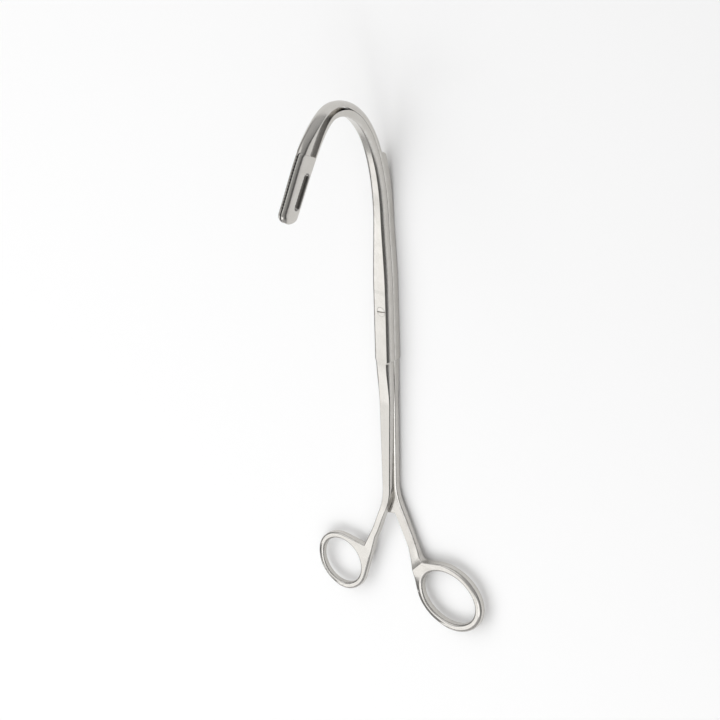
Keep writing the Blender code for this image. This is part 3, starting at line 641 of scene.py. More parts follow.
@dataclass
class RingPlate:
    """A finger ring with the flare that joins it to its handle.

    The outline leaves the handle on its outer edge, turns at the notch onto a tangent of the ring's ellipse,
    follows the ellipse round and comes back along the tangent through the handle's inner edge. Above the crease
    the faces are tilted to meet the handle.
    """

    name: str
    path: BranchPath
    start: float
    width: float
    notch_y: float
    notch_radius: float
    centre: tuple[float, float]
    half_axes: tuple[float, float]
    tilt: float
    stock: float
    top: float
    bottom: float
    handle_top: float
    handle_bottom: float
    handle_start: float
    crease: float
    crease_turn: float
    crease_slope: float
    crease_reach: float
    rim_radius: float
    bore_radius: float
    flank: tuple[float, float]
    face_drop: float = 1.1 * MM
    flank_fade: tuple[float, float] = (-1.0 * MM, 5.0 * MM)
    drop_rise: tuple[float, float] = (2.27, 3.32)
    drop_fall: tuple[float, float] = (4.2, 5.0)
    skew_fade: tuple[float, float] = (2.0 * MM, 7.0 * MM)
    drop_overhang: float = 1.2
    leave_deg: tuple[float, float] = (60.0, 150.0)
    arrive_deg: tuple[float, float] = (150.0, 240.0)
    tangent_step_deg: float = 0.05
    cuts_at_crease: tuple[float, ...] = (-0.25 * MM, -0.1 * MM, 0.0, 0.12 * MM)
    cuts_above: tuple[float, float, float] = (0.4 * MM, 9.6 * MM, 0.6 * MM)
    cuts_across: tuple[float, float, float] = (-14.0 * MM, 14.0 * MM, 0.8 * MM)
    flat_normal: float = 0.9999
    ring_steps: int = 240
    notch_steps: int = 16
    edge_steps: int = 12
    bore_steps: int = 220
    rim_steps: int = 8

    def ellipse(self, angle: Array, grow: float = 0.0) -> tuple[Array, Array]:
        """Points (a cos t, b sin t) of the tilted ellipse, and its directions of travel.

        Args:
            angle: Parameter angles.
            grow: Length added to both half-axes.

        Returns:
            Points and unit directions in the plane.
        """
        a, b = self.half_axes[0] + grow, self.half_axes[1] + grow
        c, s = math.cos(self.tilt), math.sin(self.tilt)
        turn = np.array([[c, s], [-s, c]])
        point = np.stack([a * np.cos(angle), b * np.sin(angle)], axis=-1) @ turn + np.array(self.centre)
        way = np.stack([-a * np.sin(angle), b * np.cos(angle)], axis=-1) @ turn
        return point, way / np.linalg.norm(way, axis=-1, keepdims=True)

    def frame_at(self, s: float) -> tuple[Array, Array]:
        """Origin and x axis of the path at one place."""
        origin, x_axis, _ = self.path.frames(np.array([s]))
        return origin[0], x_axis[0]

    def tangent_angle(self, point: Array, between: tuple[float, float]) -> float:
        """Parameter angle at which the ellipse's tangent passes through a point outside it.

        Args:
            point: The point.
            between: Angles between which it is looked for, in degrees.

        Returns:
            The angle in radians.
        """
        angle = np.radians(np.arange(*between, self.tangent_step_deg))
        on, way = self.ellipse(angle)
        back = point - on
        miss = np.abs(back[:, 0] * way[:, 1] - back[:, 1] * way[:, 0]) / np.linalg.norm(back, axis=1)
        return float(angle[np.argmin(miss)])

    def corner(self, before: Array, at: Array, after: Array) -> Array:
        """Arc of the notch's radius that touches both legs of a corner.

        Args:
            before: A point on the first leg.
            at: The corner.
            after: A point on the second leg.

        Returns:
            Points of the arc, from the first leg to the second.
        """
        u = (before - at) / np.linalg.norm(before - at)
        v = (after - at) / np.linalg.norm(after - at)
        half = 0.5 * math.acos(float(np.clip(u @ v, -1.0, 1.0)))
        middle = at + (u + v) / np.linalg.norm(u + v) * self.notch_radius / math.sin(half)
        reach = self.notch_radius / math.tan(half)
        a, b = at + u * reach - middle, at + v * reach - middle
        start = math.atan2(a[1], a[0])
        sweep = (math.atan2(b[1], b[0]) - start + math.pi) % (2 * math.pi) - math.pi
        angle = start + sweep * np.linspace(0.0, 1.0, self.notch_steps + 1)
        return middle + self.notch_radius * np.stack([np.cos(angle), np.sin(angle)], axis=-1)

    def outline(self) -> Array:
        """Outer outline as an open line.

        Returns:
            Its points, from the handle's outer edge round the ring to the handle's inner edge.
        """
        side = self.path.side.value
        origin, x_axis = self.frame_at(self.start)
        out = x_axis[:2] * side
        down = np.array([x_axis[1], -x_axis[0]])
        outer = origin[:2] + out * 0.5 * self.width
        inner = origin[:2] - out * 0.5 * self.width
        notch = outer + down * (self.notch_y - outer[1]) / down[1]
        leave = self.tangent_angle(notch, self.leave_deg)
        arrive = self.tangent_angle(inner, self.arrive_deg) - side * 2 * math.pi
        ring = self.ellipse(np.linspace(leave, arrive, self.ring_steps))[0]
        bend = self.corner(outer, notch, ring[0])
        share = np.linspace(0.0, 1.0, self.edge_steps + 2)[:, None]
        leg_out = mix(outer, bend[0], share)[:-1]
        leg_on = mix(bend[-1], ring[0], share)[1:-1]
        leg_back = mix(ring[-1], inner, share)[1:]
        return np.vstack([leg_out, bend, leg_on, ring, leg_back])

    def rim(self, line: Array, outward: Array, wide: Array, deep: Array) -> tuple[Array, Array]:
        """Rounded rim along a line: each point is set in by w (1 - sin b) and down by d (1 - cos b).

        Args:
            line: Points of the outline.
            outward: Unit normals out of the plate, in its plane.
            wide: Width w of the roundings at each place.
            deep: Depth d of the roundings at each place.

        Returns:
            Points as (place, rim point, axis) and their edge mask.
        """
        b = np.linspace(0.0, 0.5 * math.pi, self.rim_steps + 1)
        w, d = wide[:, None], deep[:, None]
        inset = np.hstack([w + SUPPORT, w * (1 - np.sin(b)), 0.0 * w])
        drop = np.hstack([0.0 * d, d * (1 - np.cos(b)), d + SUPPORT])
        inset = np.hstack([inset, inset[:, ::-1]])
        z = np.hstack([self.top - drop, (self.bottom + drop)[:, ::-1]])
        flat = line[:, None] - outward[:, None] * inset[..., None]
        points = np.concatenate([flat, z[..., None]], axis=-1)
        hump = np.concatenate([[0.0], np.sin(2 * b), [0.0]])
        hump = hump * np.minimum(1.0, (EDGE_MASK_RADIUS / np.maximum(w, d)) ** 2)
        return points, np.hstack([hump, hump[:, ::-1]])

    def flank_sizes(self, line: Array) -> tuple[Array, Array]:
        """Width and depth of the outer rounding: the handle's up to the crease, the flank's round the ring.

        Args:
            line: Points of the outer outline.

        Returns:
            Width and depth at each point.
        """
        origin, x_axis = self.frame_at(self.crease)
        below = (line - origin[:2]) @ np.array([x_axis[1], -x_axis[0]])
        share = ease(below, *self.flank_fade) * (1.0 - self.lower_left(line - np.array(self.centre)))
        return mix(self.rim_radius, self.flank[0], share), mix(self.rim_radius, self.flank[1], share)

    def level(self, points: Array) -> Array:
        """Heights of the points once the faces above the crease run up to the handle.

        The back runs straight from the ring's height to the handle's, and the front follows the cove.

        Args:
            points: Points of the flat plate.

        Returns:
            Their new heights.
        """
        origin, x_axis = self.frame_at(self.crease)
        offset = points[:, :2] - origin[:2]
        above = offset @ np.array([-x_axis[1], x_axis[0]])
        skew = math.tan(self.crease_turn) * (1.0 - ease(above, *self.skew_fade))
        t = np.maximum(0.0, above - (offset @ x_axis[:2]) * skew)
        span = self.handle_start - self.crease
        share = np.minimum(1.0, soft_ramp(1.0 - t / span))
        coved = cove(t, span, self.top - self.handle_top, self.crease_slope, self.crease_reach)
        top = mix(self.handle_top, self.top, coved)
        bottom = mix(self.handle_bottom, self.bottom, share)
        height = (points[:, 2] - self.bottom) / (self.top - self.bottom)
        return mix(bottom, top - self.drop(points), height)

    def lower_left(self, offset: Array) -> Array:
        """How much of the lower left each offset from the ring's middle is in, from 0 to 1."""
        angle = np.mod(np.arctan2(offset[:, 1], offset[:, 0]), 2 * math.pi)
        return ease(angle, *self.drop_rise) * (1.0 - ease(angle, *self.drop_fall))

    def drop(self, points: Array) -> Array:
        """Outward slope of the front face on the ring's lower left: drop times the share of the way out.

        Args:
            points: Points of the plate.

        Returns:
            How far each point's front face lies below the flat one.
        """
        offset = points[:, :2] - np.array(self.centre)
        c, s = math.cos(self.tilt), math.sin(self.tilt)
        share = np.linalg.norm((offset @ np.array([[c, -s], [s, c]])) / np.array(self.half_axes), axis=1)
        hole = 1.0 - self.stock / float(np.mean(self.half_axes))
        out = np.clip((share - hole) / (1.0 - hole), 0.0, self.drop_overhang)
        return self.face_drop * out * self.lower_left(offset)

    def build(self) -> bpy.types.Object:
        """Build the plate: two rims, two capped faces split along the crease, and the end at the handle.

        Returns:
            The closed piece.
        """
        line = self.outline()
        travel = np.gradient(line, axis=0)
        travel /= np.linalg.norm(travel, axis=1, keepdims=True)
        outward = self.path.side.value * np.stack([-travel[:, 1], travel[:, 0]], axis=-1)
        outward[0] = self.frame_at(self.start)[1][:2] * self.path.side.value
        outward[-1] = -outward[0]
        outer, outer_mask = self.rim(line, outward, *self.flank_sizes(line))
        around = np.linspace(0.0, 2 * math.pi, self.bore_steps, endpoint=False)
        hole, way = self.ellipse(around, -self.stock)
        bore_radii = np.full(self.bore_steps, self.bore_radius)
        bore, bore_mask = self.rim(hole, np.stack([-way[:, 1], way[:, 0]], axis=-1), bore_radii, bore_radii)

        rows, columns = outer.shape[:2]
        faces = grid_quads(rows, columns, False).tolist()
        shift = rows * columns
        count = bore.shape[0]
        bore_rows = grid_quads(count + 1, columns, False) % (count * columns)
        faces += (bore_rows + shift).tolist()
        faces.append(list(range(columns)) + list(range((rows - 1) * columns, rows * columns))[::-1])
        for column in (0, columns - 1):
            numbers = np.concatenate([np.arange(rows) * columns, shift + np.arange(count) * columns]) + column
            loops = [[Vector((*p[:2], 0.0)) for p in loop[:, column]] for loop in (outer, bore)]
            faces += [[int(numbers[i]) for i in face] for face in tessellate_polygon(loops)]
        points = np.vstack([outer.reshape(-1, 3), bore.reshape(-1, 3)])
        mask = np.concatenate([outer_mask.ravel(), bore_mask.ravel()])
        piece = make_piece(self.name, points, faces, edge=mask)
        self.cut_crease(piece.data)
        co = np.zeros(len(piece.data.vertices) * 3)
        piece.data.vertices.foreach_get("co", co)
        co = co.reshape(-1, 3)
        set_attribute(piece.data, "grain", self.grain(co))
        co[:, 2] = self.level(co)
        piece.data.vertices.foreach_set("co", co.ravel())
        piece.data.update()
        orient(piece.data)
        return piece

    def grain(self, points: Array) -> Array:
        """Grain coordinates that run round the ring: (distance from the middle, angle times half-axis, z).

        Args:
            points: Points of the plate.

        Returns:
            Coordinates of each point.
        """
        d = points[:, :2] - np.array(self.centre)
        radius = np.linalg.norm(d, axis=1)
        return np.stack([radius, np.arctan2(d[:, 1], d[:, 0]) * self.half_axes[0], points[:, 2]], axis=-1)

    def cut_crease(self, mesh: bpy.types.Mesh) -> None:
        """Cut the flat faces along and across the crease and even out their triangles, so that they can bend.

        Edges and vertices are gathered in order, not in sets, so that each run gives the same triangles.

        Args:
            mesh: Mesh of the flat plate.
        """
        origin, x_axis = (Vector(v) for v in self.frame_at(self.crease))
        base = Vector((origin.x, origin.y, 0.0))
        up = Vector((-x_axis.y, x_axis.x, 0.0))
        up.rotate(Matrix.Rotation(self.crease_turn, 3, "Z"))
        across = Vector((up.y, -up.x, 0.0))
        bm = bmesh.new()
        bm.from_mesh(mesh)
        for t in (*self.cuts_at_crease, *np.arange(*self.cuts_above)):
            bmesh.ops.bisect_plane(bm, geom=bm.verts[:] + bm.edges[:] + bm.faces[:], dist=MERGE_DISTANCE,
                                   plane_co=base + up * t, plane_no=up)
        for t in np.arange(*self.cuts_across):
            faces = [face for face in bm.faces if (face.calc_center_median() - base).dot(up) > -CREASE_MARGIN]
            edges = dict.fromkeys(edge for face in faces for edge in face.edges)
            verts = dict.fromkeys(vert for face in faces for vert in face.verts)
            bmesh.ops.bisect_plane(bm, geom=[*verts, *edges, *faces], dist=MERGE_DISTANCE,
                                   plane_co=base + across * t, plane_no=across)
        bm.normal_update()
        flat = [face for face in bm.faces if abs(face.normal.z) > self.flat_normal]
        flat = bmesh.ops.triangulate(bm, faces=flat)["faces"]
        inner = [edge for edge in dict.fromkeys(edge for face in flat for edge in face.edges)
                 if all(abs(face.normal.z) > self.flat_normal for face in edge.link_faces)]
        bmesh.ops.beautify_fill(bm, faces=flat, edges=inner, method="ANGLE")
        bm.to_mesh(mesh)
        bm.free()


@dataclass
class Jaws:
    """Sizes of the jaws, which both branches share."""

    length: float = 27.4 * MM
    width: float = 5.2 * MM
    root_depth: float = 9.0 * MM
    tip_depth: float = 8.2 * MM
    concave_radius: float = 0.5 * MM
    parting_chamfer: float = 0.2 * MM
    back_round: float = 5.0 * MM
    tip_round: float = 3.4 * MM
    tip_flat: float = 0.14
    tip_narrowing: float = 0.55
    tip_concave_share: float = 0.7
    seam_radius: float = 1.0 * MM
    slot_length: float = 14.6 * MM
    slot_width: float = 3.0 * MM
    slot_start: float = 6.6 * MM
    slot_edge: float = 1.2 * MM
    slot_rounding: float = 0.4 * MM
    tooth_pitch: float = 1.25 * MM
    tooth_depth: float = 0.35 * MM
    tooth_first: float = 1.6 * MM
    tooth_count: int = 17
    tooth_root_share: float = 0.84
    tooth_mouth_share: float = 0.1
    root_steps: int = 15
    body_steps: int = 28
    end_steps: int = 22
    end_angle: float = math.radians(84.0)
    slot_edge_steps: int = 7
    slot_round_steps: int = 64


@dataclass
class Branch(ABC):
    """Base of both branches: widths and depths along the path, joint, shank, neck and jaw."""

    side: Side
    path: BranchPath
    shank_centre: float
    shank_thin: float
    handle_width: float
    plate_start: float
    slot_name: str
    body: str
    node: str
    jaws: Jaws = field(default_factory=Jaws)
    joint_width: float = 6.95 * MM
    joint_centre: float = -0.37 * MM
    joint_step: float = 0.9 * MM
    rear_edge: float = 0.9 * MM
    shank_top_width: float = 6.1 * MM
    shank_width: float = 3.7 * MM
    shank_taper_end: float = -75.0 * MM
    shank_thin_at: float = -42.0 * MM
    shank_edge: float = 0.45 * MM
    level_start: float = -88.0 * MM
    level_end: float = -101.0 * MM
    handle_narrow_start: float = -76.0 * MM
    handle_narrow_end: float = -90.0 * MM
    handle_slope_start: float = -86.0 * MM
    crease: float = -109.8 * MM
    neck_width: float = 4.8 * MM
    neck_centre: float = -0.5 * MM
    neck_slim_y: float = 44.0 * MM
    neck_stack: float = 5.7 * MM
    neck_taper_lead: float = 12.0 * MM
    shoulder_at: float = 65.8 * MM
    shoulder_length: float = 2.2 * MM
    shoulder_drop: float = 1.3 * MM
    neck_edge: float = 0.45 * MM
    inner_neck: float = 3.0 * MM
    inner_neck_end: float = 1.05 * MM
    window_lead: float = 11.0 * MM
    window_full: float = 10.0 * MM
    window_cut: float = 12.0 * MM
    window_width: float = 3.95 * MM
    mating_edge: float = 0.12 * MM
    handle_edge: float = 0.6 * MM
    ring_top: float = 5.4 * MM
    ring_bottom: float = 2.0 * MM
    handle_top: float = 3.65 * MM
    crease_slope: float = 0.0
    crease_reach: float = 4.5 * MM
    station: float = 0.8 * MM
    closest_stations: float = 0.02 * MM
    step_stations: int = 12
    shoulder_stations: int = 16
    link_start: float = 0.01 * MM
    link_end: float = 0.0
    link_to_jaw: float = 0.01 * MM

    def __post_init__(self) -> None:
        """Work out the places along the path that the sizes give."""
        self.apex_at = self.path.hook.apex_at
        self.tip_at = float(self.path.hook.along[-1])
        self.jaw_at = self.tip_at - self.jaws.length
        self.window_at = self.apex_at - self.window_lead
        self.fill = 0.5 * (CAD_GAP - SEEN_GAP)

    def width(self, s: Array) -> Array:
        """Full width across x from the joint to the jaws."""
        width = mix(self.joint_width, self.neck_width, ease(s, JOINT_TOP, self.neck_slim_y))
        return mix(width, self.jaws.width, ease(s, self.shoulder_at, self.jaw_at))

    def across(self, s: Array) -> tuple[Array, Array]:
        """Sides of the sections below the jaws.

        Args:
            s: Places along the path.

        Returns:
            Lowest and highest x at each place.
        """
        centre = mix(self.joint_centre, self.neck_centre, ease(s, JOINT_TOP, self.neck_slim_y))
        centre = centre * (1.0 - ease(s, self.shoulder_at, self.apex_at))
        t = np.clip((JOINT_BOTTOM - s) / (JOINT_BOTTOM - self.shank_taper_end), 0.0, 1.0)
        off = mix(self.joint_centre, self.shank_centre, t) * (1.0 - ease(-s, -self.level_start, -self.level_end))
        handle = ease(-s, -self.handle_narrow_start, -self.handle_narrow_end)
        shank = mix(mix(self.shank_top_width, self.shank_width, t), self.handle_width, handle)
        below = ease(-s, -JOINT_BOTTOM, -JOINT_BOTTOM + self.joint_step)
        middle, half = mix(centre, off, below), 0.5 * mix(self.width(s), shank, below)
        return middle - half, middle + half

    def stack_depth(self, s: Array) -> Array:
        """Depth of both branches together along the hook.

        Args:
            s: Places along the path.

        Returns:
            The depth at each place.
        """
        slim = ease(s, self.path.hook.start_y - self.neck_taper_lead, self.shoulder_at)
        depth = mix(STACK, self.neck_stack + self.shoulder_drop, slim)
        depth = depth - self.shoulder_drop * ease(s, self.shoulder_at, self.shoulder_at + self.shoulder_length)
        depth = mix(depth, self.jaws.root_depth, ease(s, self.apex_at, self.jaw_at))
        return mix(depth, self.jaws.tip_depth, ease(s, self.jaw_at, self.tip_at))

    def inner_depth(self, s: Array) -> Array:
        """Depth of the front branch along the hook, up to the jaws."""
        depth = mix(FRONT_HALF, self.inner_neck, ease(s, self.path.hook.start_y, self.shoulder_at))
        return mix(depth, self.inner_neck_end, ease(s, self.window_at, self.jaw_at))

    def thinning(self, s: Array) -> Array:
        """Share of the way from the joint's thickness to the shank's."""
        return ease(-s, -JOINT_BOTTOM, -self.shank_thin_at)

    def filling(self, s: Array) -> Array:
        """How far a mating face stands into the solids' gap, fading out where the window opens."""
        return self.fill * (1.0 - ease(s, self.window_at, self.apex_at))

    def window_depth(self, s: Array) -> Array:
        """Gap in q between the two necks, which opens past the apex into the window."""
        return mix(CAD_GAP, self.window_width, ease(s, self.window_at, self.apex_at + self.window_full))

    def settle(self, s: Array) -> Array:
        """Share of the way from the shank's level to the ring's: straight from the slope's start to the crease."""
        t = (self.handle_slope_start - s) / (self.handle_slope_start - self.crease)
        return soft_ramp(t)

    def settle_front(self, s: Array) -> Array:
        """The same for the front face, along the cove."""
        return cove(s - self.crease, self.handle_slope_start - self.crease, self.ring_top - self.handle_top,
                    self.crease_slope, self.crease_reach)

    def seam(self, s: Array) -> Array:
        """Extra distance of the jaw's inner side from the parting plane round its root: r - sqrt(r^2 - d^2).

        Args:
            s: Places along the path.

        Returns:
            The distance at each place.
        """
        r = self.jaws.seam_radius
        d = np.clip(self.jaw_at + r - s, 0.0, r)
        return r - np.sqrt(np.maximum(0.0, r * r - d * d))

    def jaw_sections(self, s: Array) -> tuple[Array, Array]:
        """Sections of the jaw half, from the parting plane out to its side.

        Args:
            s: Places along the path.

        Returns:
            Outlines and edge masks.
        """
        jaws = self.jaws
        depth = self.stack_depth(s)
        u = np.clip((s - (self.tip_at - jaws.tip_round)) / jaws.tip_round, 0.0, 1.0)
        f = np.maximum(jaws.tip_flat, np.sqrt(1.0 - u * u))
        inner = 0.5 * JAW_GAP
        outer = inner + (0.5 * self.width(s) - inner) * mix(1.0, f, jaws.tip_narrowing)
        q0, q1 = 0.5 * depth * (1.0 - f), 0.5 * depth * (1.0 + f)
        seam = self.seam(s)
        ones = np.ones_like(s)
        back = np.stack([outer - inner, jaws.back_round * ones])
        concave = np.stack([mix((outer - inner) * jaws.tip_concave_share, jaws.concave_radius, f)] * 2)
        mating = np.stack([self.mating_edge * ones] * 2)
        chamfer = np.stack([jaws.parting_chamfer * ones] * 2)
        if self.side is Side.FRONT:
            return rounded_outlines(inner + seam, outer, q0, q1, np.stack([mating, concave, back, chamfer]))
        return rounded_outlines(-outer, seam - inner, q0, q1, np.stack([concave, mating, chamfer, back]))

    def jaw_places(self, first: float) -> Array:
        """Places of the jaw's sections: close at its root, even along it, and closing in on its round end.

        Args:
            first: Place of the first section.

        Returns:
            Places along the path.
        """
        jaws = self.jaws
        root = first + np.linspace(0.0, 1.0, jaws.root_steps) ** 2 * jaws.seam_radius
        end_at = self.tip_at - jaws.tip_round
        body = np.linspace(root[-1], end_at, jaws.body_steps)[1:]
        end = end_at + jaws.tip_round * np.sin(np.linspace(0.0, jaws.end_angle, jaws.end_steps))[1:]
        return np.concatenate([root, body, end])

    def places(self, end: float) -> Array:
        """Places of the sections from the ring plate up to an end: even, and closer at the steps.

        Args:
            end: Place of the last section.

        Returns:
            Places along the path.
        """
        count = int((end - self.plate_start) / self.station)
        even = np.linspace(self.plate_start, end, count)
        step = np.linspace(JOINT_BOTTOM - self.joint_step, JOINT_BOTTOM, self.step_stations)
        shoulder = np.linspace(self.shoulder_at, self.shoulder_at + self.shoulder_length, self.shoulder_stations)
        every = np.sort(np.concatenate([even, step, shoulder]))
        keep = np.concatenate([[True], np.diff(every) > self.closest_stations])
        return every[keep]

    def slot_cutter(self) -> bpy.types.Object:
        """Round-ended bar through the jaw, flared where it leaves the side so that the slot's edge is rounded.

        Returns:
            The closed cutter.
        """
        jaws = self.jaws
        middle = self.jaw_at + jaws.slot_start + 0.5 * jaws.slot_length
        origin, _, q_axis = (v[0] for v in self.path.frames(np.array([middle])))
        along = np.array([0.0, -q_axis[2], q_axis[1]])
        centre = origin + q_axis * (jaws.slot_edge + 0.5 * jaws.slot_width)
        run = 0.5 * jaws.slot_length - 0.5 * jaws.slot_width
        face = 0.5 * jaws.width
        b = np.linspace(0.0, 0.5 * math.pi, jaws.slot_edge_steps)
        rounding = jaws.slot_rounding
        depth = np.concatenate([[-2.0 * face], face - rounding * (1 - np.sin(b)), [face + CUT_MARGIN]])
        grow = np.concatenate([[0.0], rounding * (1 - np.cos(b)), [rounding + CUT_MARGIN]])
        x = -self.side.value * depth
        angle = np.linspace(-0.5 * math.pi, 1.5 * math.pi, jaws.slot_round_steps + 1)[:-1]
        shift = np.where(np.cos(angle) >= -TINY, run, -run)
        radius = (0.5 * jaws.slot_width + grow)[:, None]
        a = shift + radius * np.cos(angle)
        q = radius * np.sin(angle)
        points = centre + a[..., None] * along + q[..., None] * q_axis
        points[..., 0] += x[:, None]
        # The cutter's faces carry the painted shade mark onto the slot's walls.
        return make_piece("jaw_slot_cutter", points, closed_tube(points), 1.0)

    def teeth_cutter(self) -> bpy.types.Object:
        """Row of V grooves across the gripping face: three-sided bars at an even pitch.

        Returns:
            The closed cutters as one object.
        """
        jaws = self.jaws
        s = self.jaw_at + jaws.tooth_first + np.arange(jaws.tooth_count) * jaws.tooth_pitch
        origin, _, q_axis = self.path.frames(s)
        along = np.stack([np.zeros_like(s), -q_axis[:, 2], q_axis[:, 1]], axis=-1)
        mouth = 0.5 * jaws.tooth_root_share * jaws.tooth_pitch
        face = -self.side.value * 0.5 * JAW_GAP
        lift = self.side.value * jaws.tooth_mouth_share * JAW_GAP
        profile = np.array([[-mouth, face + lift], [mouth, face + lift],
                            [0.0, face - self.side.value * jaws.tooth_depth]])
        ends = np.array([-CUT_MARGIN, jaws.root_depth + CUT_MARGIN])
        points = (origin[:, None, None] + along[:, None, None] * profile[None, None, :, :1]
                  + q_axis[:, None, None] * ends[None, :, None, None])
        points[..., 0] += profile[None, None, :, 1]
        prism = np.array([[0, 1, 4, 3], [1, 2, 5, 4], [2, 0, 3, 5]])
        caps = np.array([[0, 1, 2], [3, 4, 5]])
        base = 6 * np.arange(jaws.tooth_count)[:, None, None]
        faces = (prism[None] + base).reshape(-1, 4).tolist() + (caps[None] + base).reshape(-1, 3).tolist()
        # The cutters' faces carry the painted shade mark into the tooth grooves.
        return make_piece("jaw_teeth_cutter", points, faces, 1.0)

    @abstractmethod
    def sections(self, s: Array) -> tuple[Array, Array]:
        """Sections of the branch below the jaws, as outlines and edge masks."""

    @abstractmethod
    def bridge(self, s: Array) -> tuple[Array, Array]:
        """Sections of the short link between a neck and the root of its jaw, as outlines and edge masks."""

    def forging(self, name: str, shaded_corners: tuple[int, int]) -> bpy.types.Object:
        """Build the branch from its ring plate to the tip of its jaw, with the slot and the teeth carved.

        Args:
            name: Name of the piece.
            shaded_corners: Corners before the sides painted darker as shade, in the window and between the jaws.

        Returns:
            The closed piece.
        """
        half_gap = 0.5 * SEEN_GAP
        jaw_start = half_gap + self.link_end + self.link_to_jaw
        neck = self.places(self.jaw_at - half_gap)
        link = self.jaw_at + np.array([self.link_start - half_gap, half_gap + self.link_end])
        jaw = self.jaw_places(self.jaw_at + jaw_start)
        parts = [self.sections(neck), self.bridge(link), self.jaw_sections(jaw)]
        outlines, mask = (np.concatenate([part[k] for part in parts]) for k in range(2))
        # Painted shade on the sides in the window and between the jaws.
        painted_shade = [(shaded_corners[0], self.window_at + self.window_cut, self.jaw_at),
               (shaded_corners[1], self.jaw_at, self.tip_at)]
        body = loft(name, self.path, np.concatenate([neck, link, jaw]), outlines, mask, painted_shade)
        carve(body, self.slot_cutter())
        carve(body, self.teeth_cutter())
        return body

    def ring(self, name: str, **sizes: object) -> bpy.types.Object:
        """Build the finger ring.

        Args:
            name: Name of the piece.
            **sizes: The ring's own sizes.

        Returns:
            The closed piece.
        """
        return RingPlate(name, self.path, start=self.plate_start, width=self.handle_width, top=self.ring_top,
                         bottom=self.ring_bottom, handle_top=self.handle_top, handle_start=self.handle_slope_start,
                         crease=self.crease, crease_slope=self.crease_slope, crease_reach=self.crease_reach,
                         rim_radius=self.handle_edge, **sizes).build()

    def finish(self, pieces: list[bpy.types.Object], steel: bpy.types.Material) -> list[bpy.types.Object]:
        """Dress the pieces and tie them to the frame.

        Args:
            pieces: The branch's pieces.
            steel: Their material.

        Returns:
            The same pieces.
        """
        for piece in pieces:
            piece.data.materials.clear()
            piece.data.materials.append(steel)
            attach(piece, self.body)
        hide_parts(self.node)
        return pieces


@dataclass
class FrontBranch(Branch):
    """Branch with the smaller ring: front half of the joint, inner neck and right jaw."""

    side: Side = Side.FRONT
    path: BranchPath = field(default_factory=lambda: BranchPath(Side.FRONT, -77.0 * MM, math.radians(28.0)))
    shank_centre: float = -1.0 * MM
    shank_thin: float = 2.15 * MM
    handle_width: float = 2.9 * MM
    plate_start: float = -102.5 * MM
    slot_name: str = "front_branch_steel"
    body: str = "front"
    node: str = "front_branch"
    ring_top: float = 5.1 * MM
    ring_bottom: float = 2.3 * MM
    handle_top: float = 6.0 * MM
    crease_slope: float = -0.06
    left_edge: tuple[float, float] = (1.7 * MM, 0.42 * MM)
    right_bevel: tuple[float, float] = (1.0 * MM, 2.0 * MM)
    shank_bevel: tuple[float, float] = (0.35 * MM, 0.7 * MM)
    bevel_flatness: float = 0.8
    link_end: float = -0.01 * MM

    def sections(self, s: Array) -> tuple[Array, Array]:
        """Sections of the branch below the jaws.

        Args:
            s: Places along the path.

        Returns:
            Outlines and edge masks.
        """
        x0, x1 = self.across(s)
        shank = self.thinning(s)
        thick = mix(FRONT_HALF, self.shank_thin, shank)
        settle = self.settle(s)
        level = np.clip(settle, 0.0, 1.0)
        low = s < JOINT_TOP
        q0 = np.where(low, mix(FRONT_HALF - thick, STACK - self.ring_top, self.settle_front(s)), 0.0)
        q1 = np.where(low, mix(FRONT_HALF, STACK - self.ring_bottom, settle), self.inner_depth(s))
        q1 = q1 + self.filling(s) * (1.0 - level)
        slim = ease(s, self.shoulder_at, self.apex_at)
        below = ((self.shank_edge, self.shank_edge), self.shank_bevel)
        radii = [np.stack([mix(mix(mix(joint, self.neck_edge, slim), low_edge, shank), self.handle_edge, level)
                           for joint, low_edge in zip(above, under)])
                 for above, under in zip((self.left_edge, self.right_bevel), below)]
        mate = np.stack([mix(self.mating_edge, self.handle_edge, level)] * 2)
        flat = np.zeros((4, len(s)))
        flat[1] = self.bevel_flatness * (1.0 - slim) * (1.0 - level)
        return rounded_outlines(x0, x1, q0, q1, np.stack([*radii, mate, mate]), flat)

    def bridge(self, s: Array) -> tuple[Array, Array]:
        """Sections of the short link between the inner neck and the root of the jaw.

        Args:
            s: Places along the path.

        Returns:
            Outlines and edge masks.
        """
        ones = np.ones_like(s)
        small = np.full((4, 2, len(s)), self.mating_edge)
        small[1] = self.neck_edge
        inner = 0.5 * JAW_GAP
        return rounded_outlines(inner * ones, 0.5 * self.width(s), 0.0 * ones, self.inner_depth(s), small)

    def build(self, steel: bpy.types.Material) -> list[bpy.types.Object]:
        """Build the branch and its ring.

        Args:
            steel: Material of both.

        Returns:
            The pieces.
        """
        body = self.forging("front_branch_forging", (2, 3))
        carve(body, PivotScrew().hole_cutter())
        ring = self.ring("front_finger_ring", notch_y=-106.3 * MM, notch_radius=0.7 * MM,
                         centre=(-24.8 * MM, -116.6 * MM), half_axes=(11.8 * MM, 11.8 * MM), tilt=0.0,
                         stock=2.7 * MM, handle_bottom=STACK - FRONT_HALF - self.fill,
                         crease_turn=math.radians(-10.0), bore_radius=1.05 * MM, flank=(1.2 * MM, 1.1 * MM),
                         leave_deg=(30.0, 120.0), arrive_deg=(-60.0, 30.0))
        return self.finish([body, ring], steel)


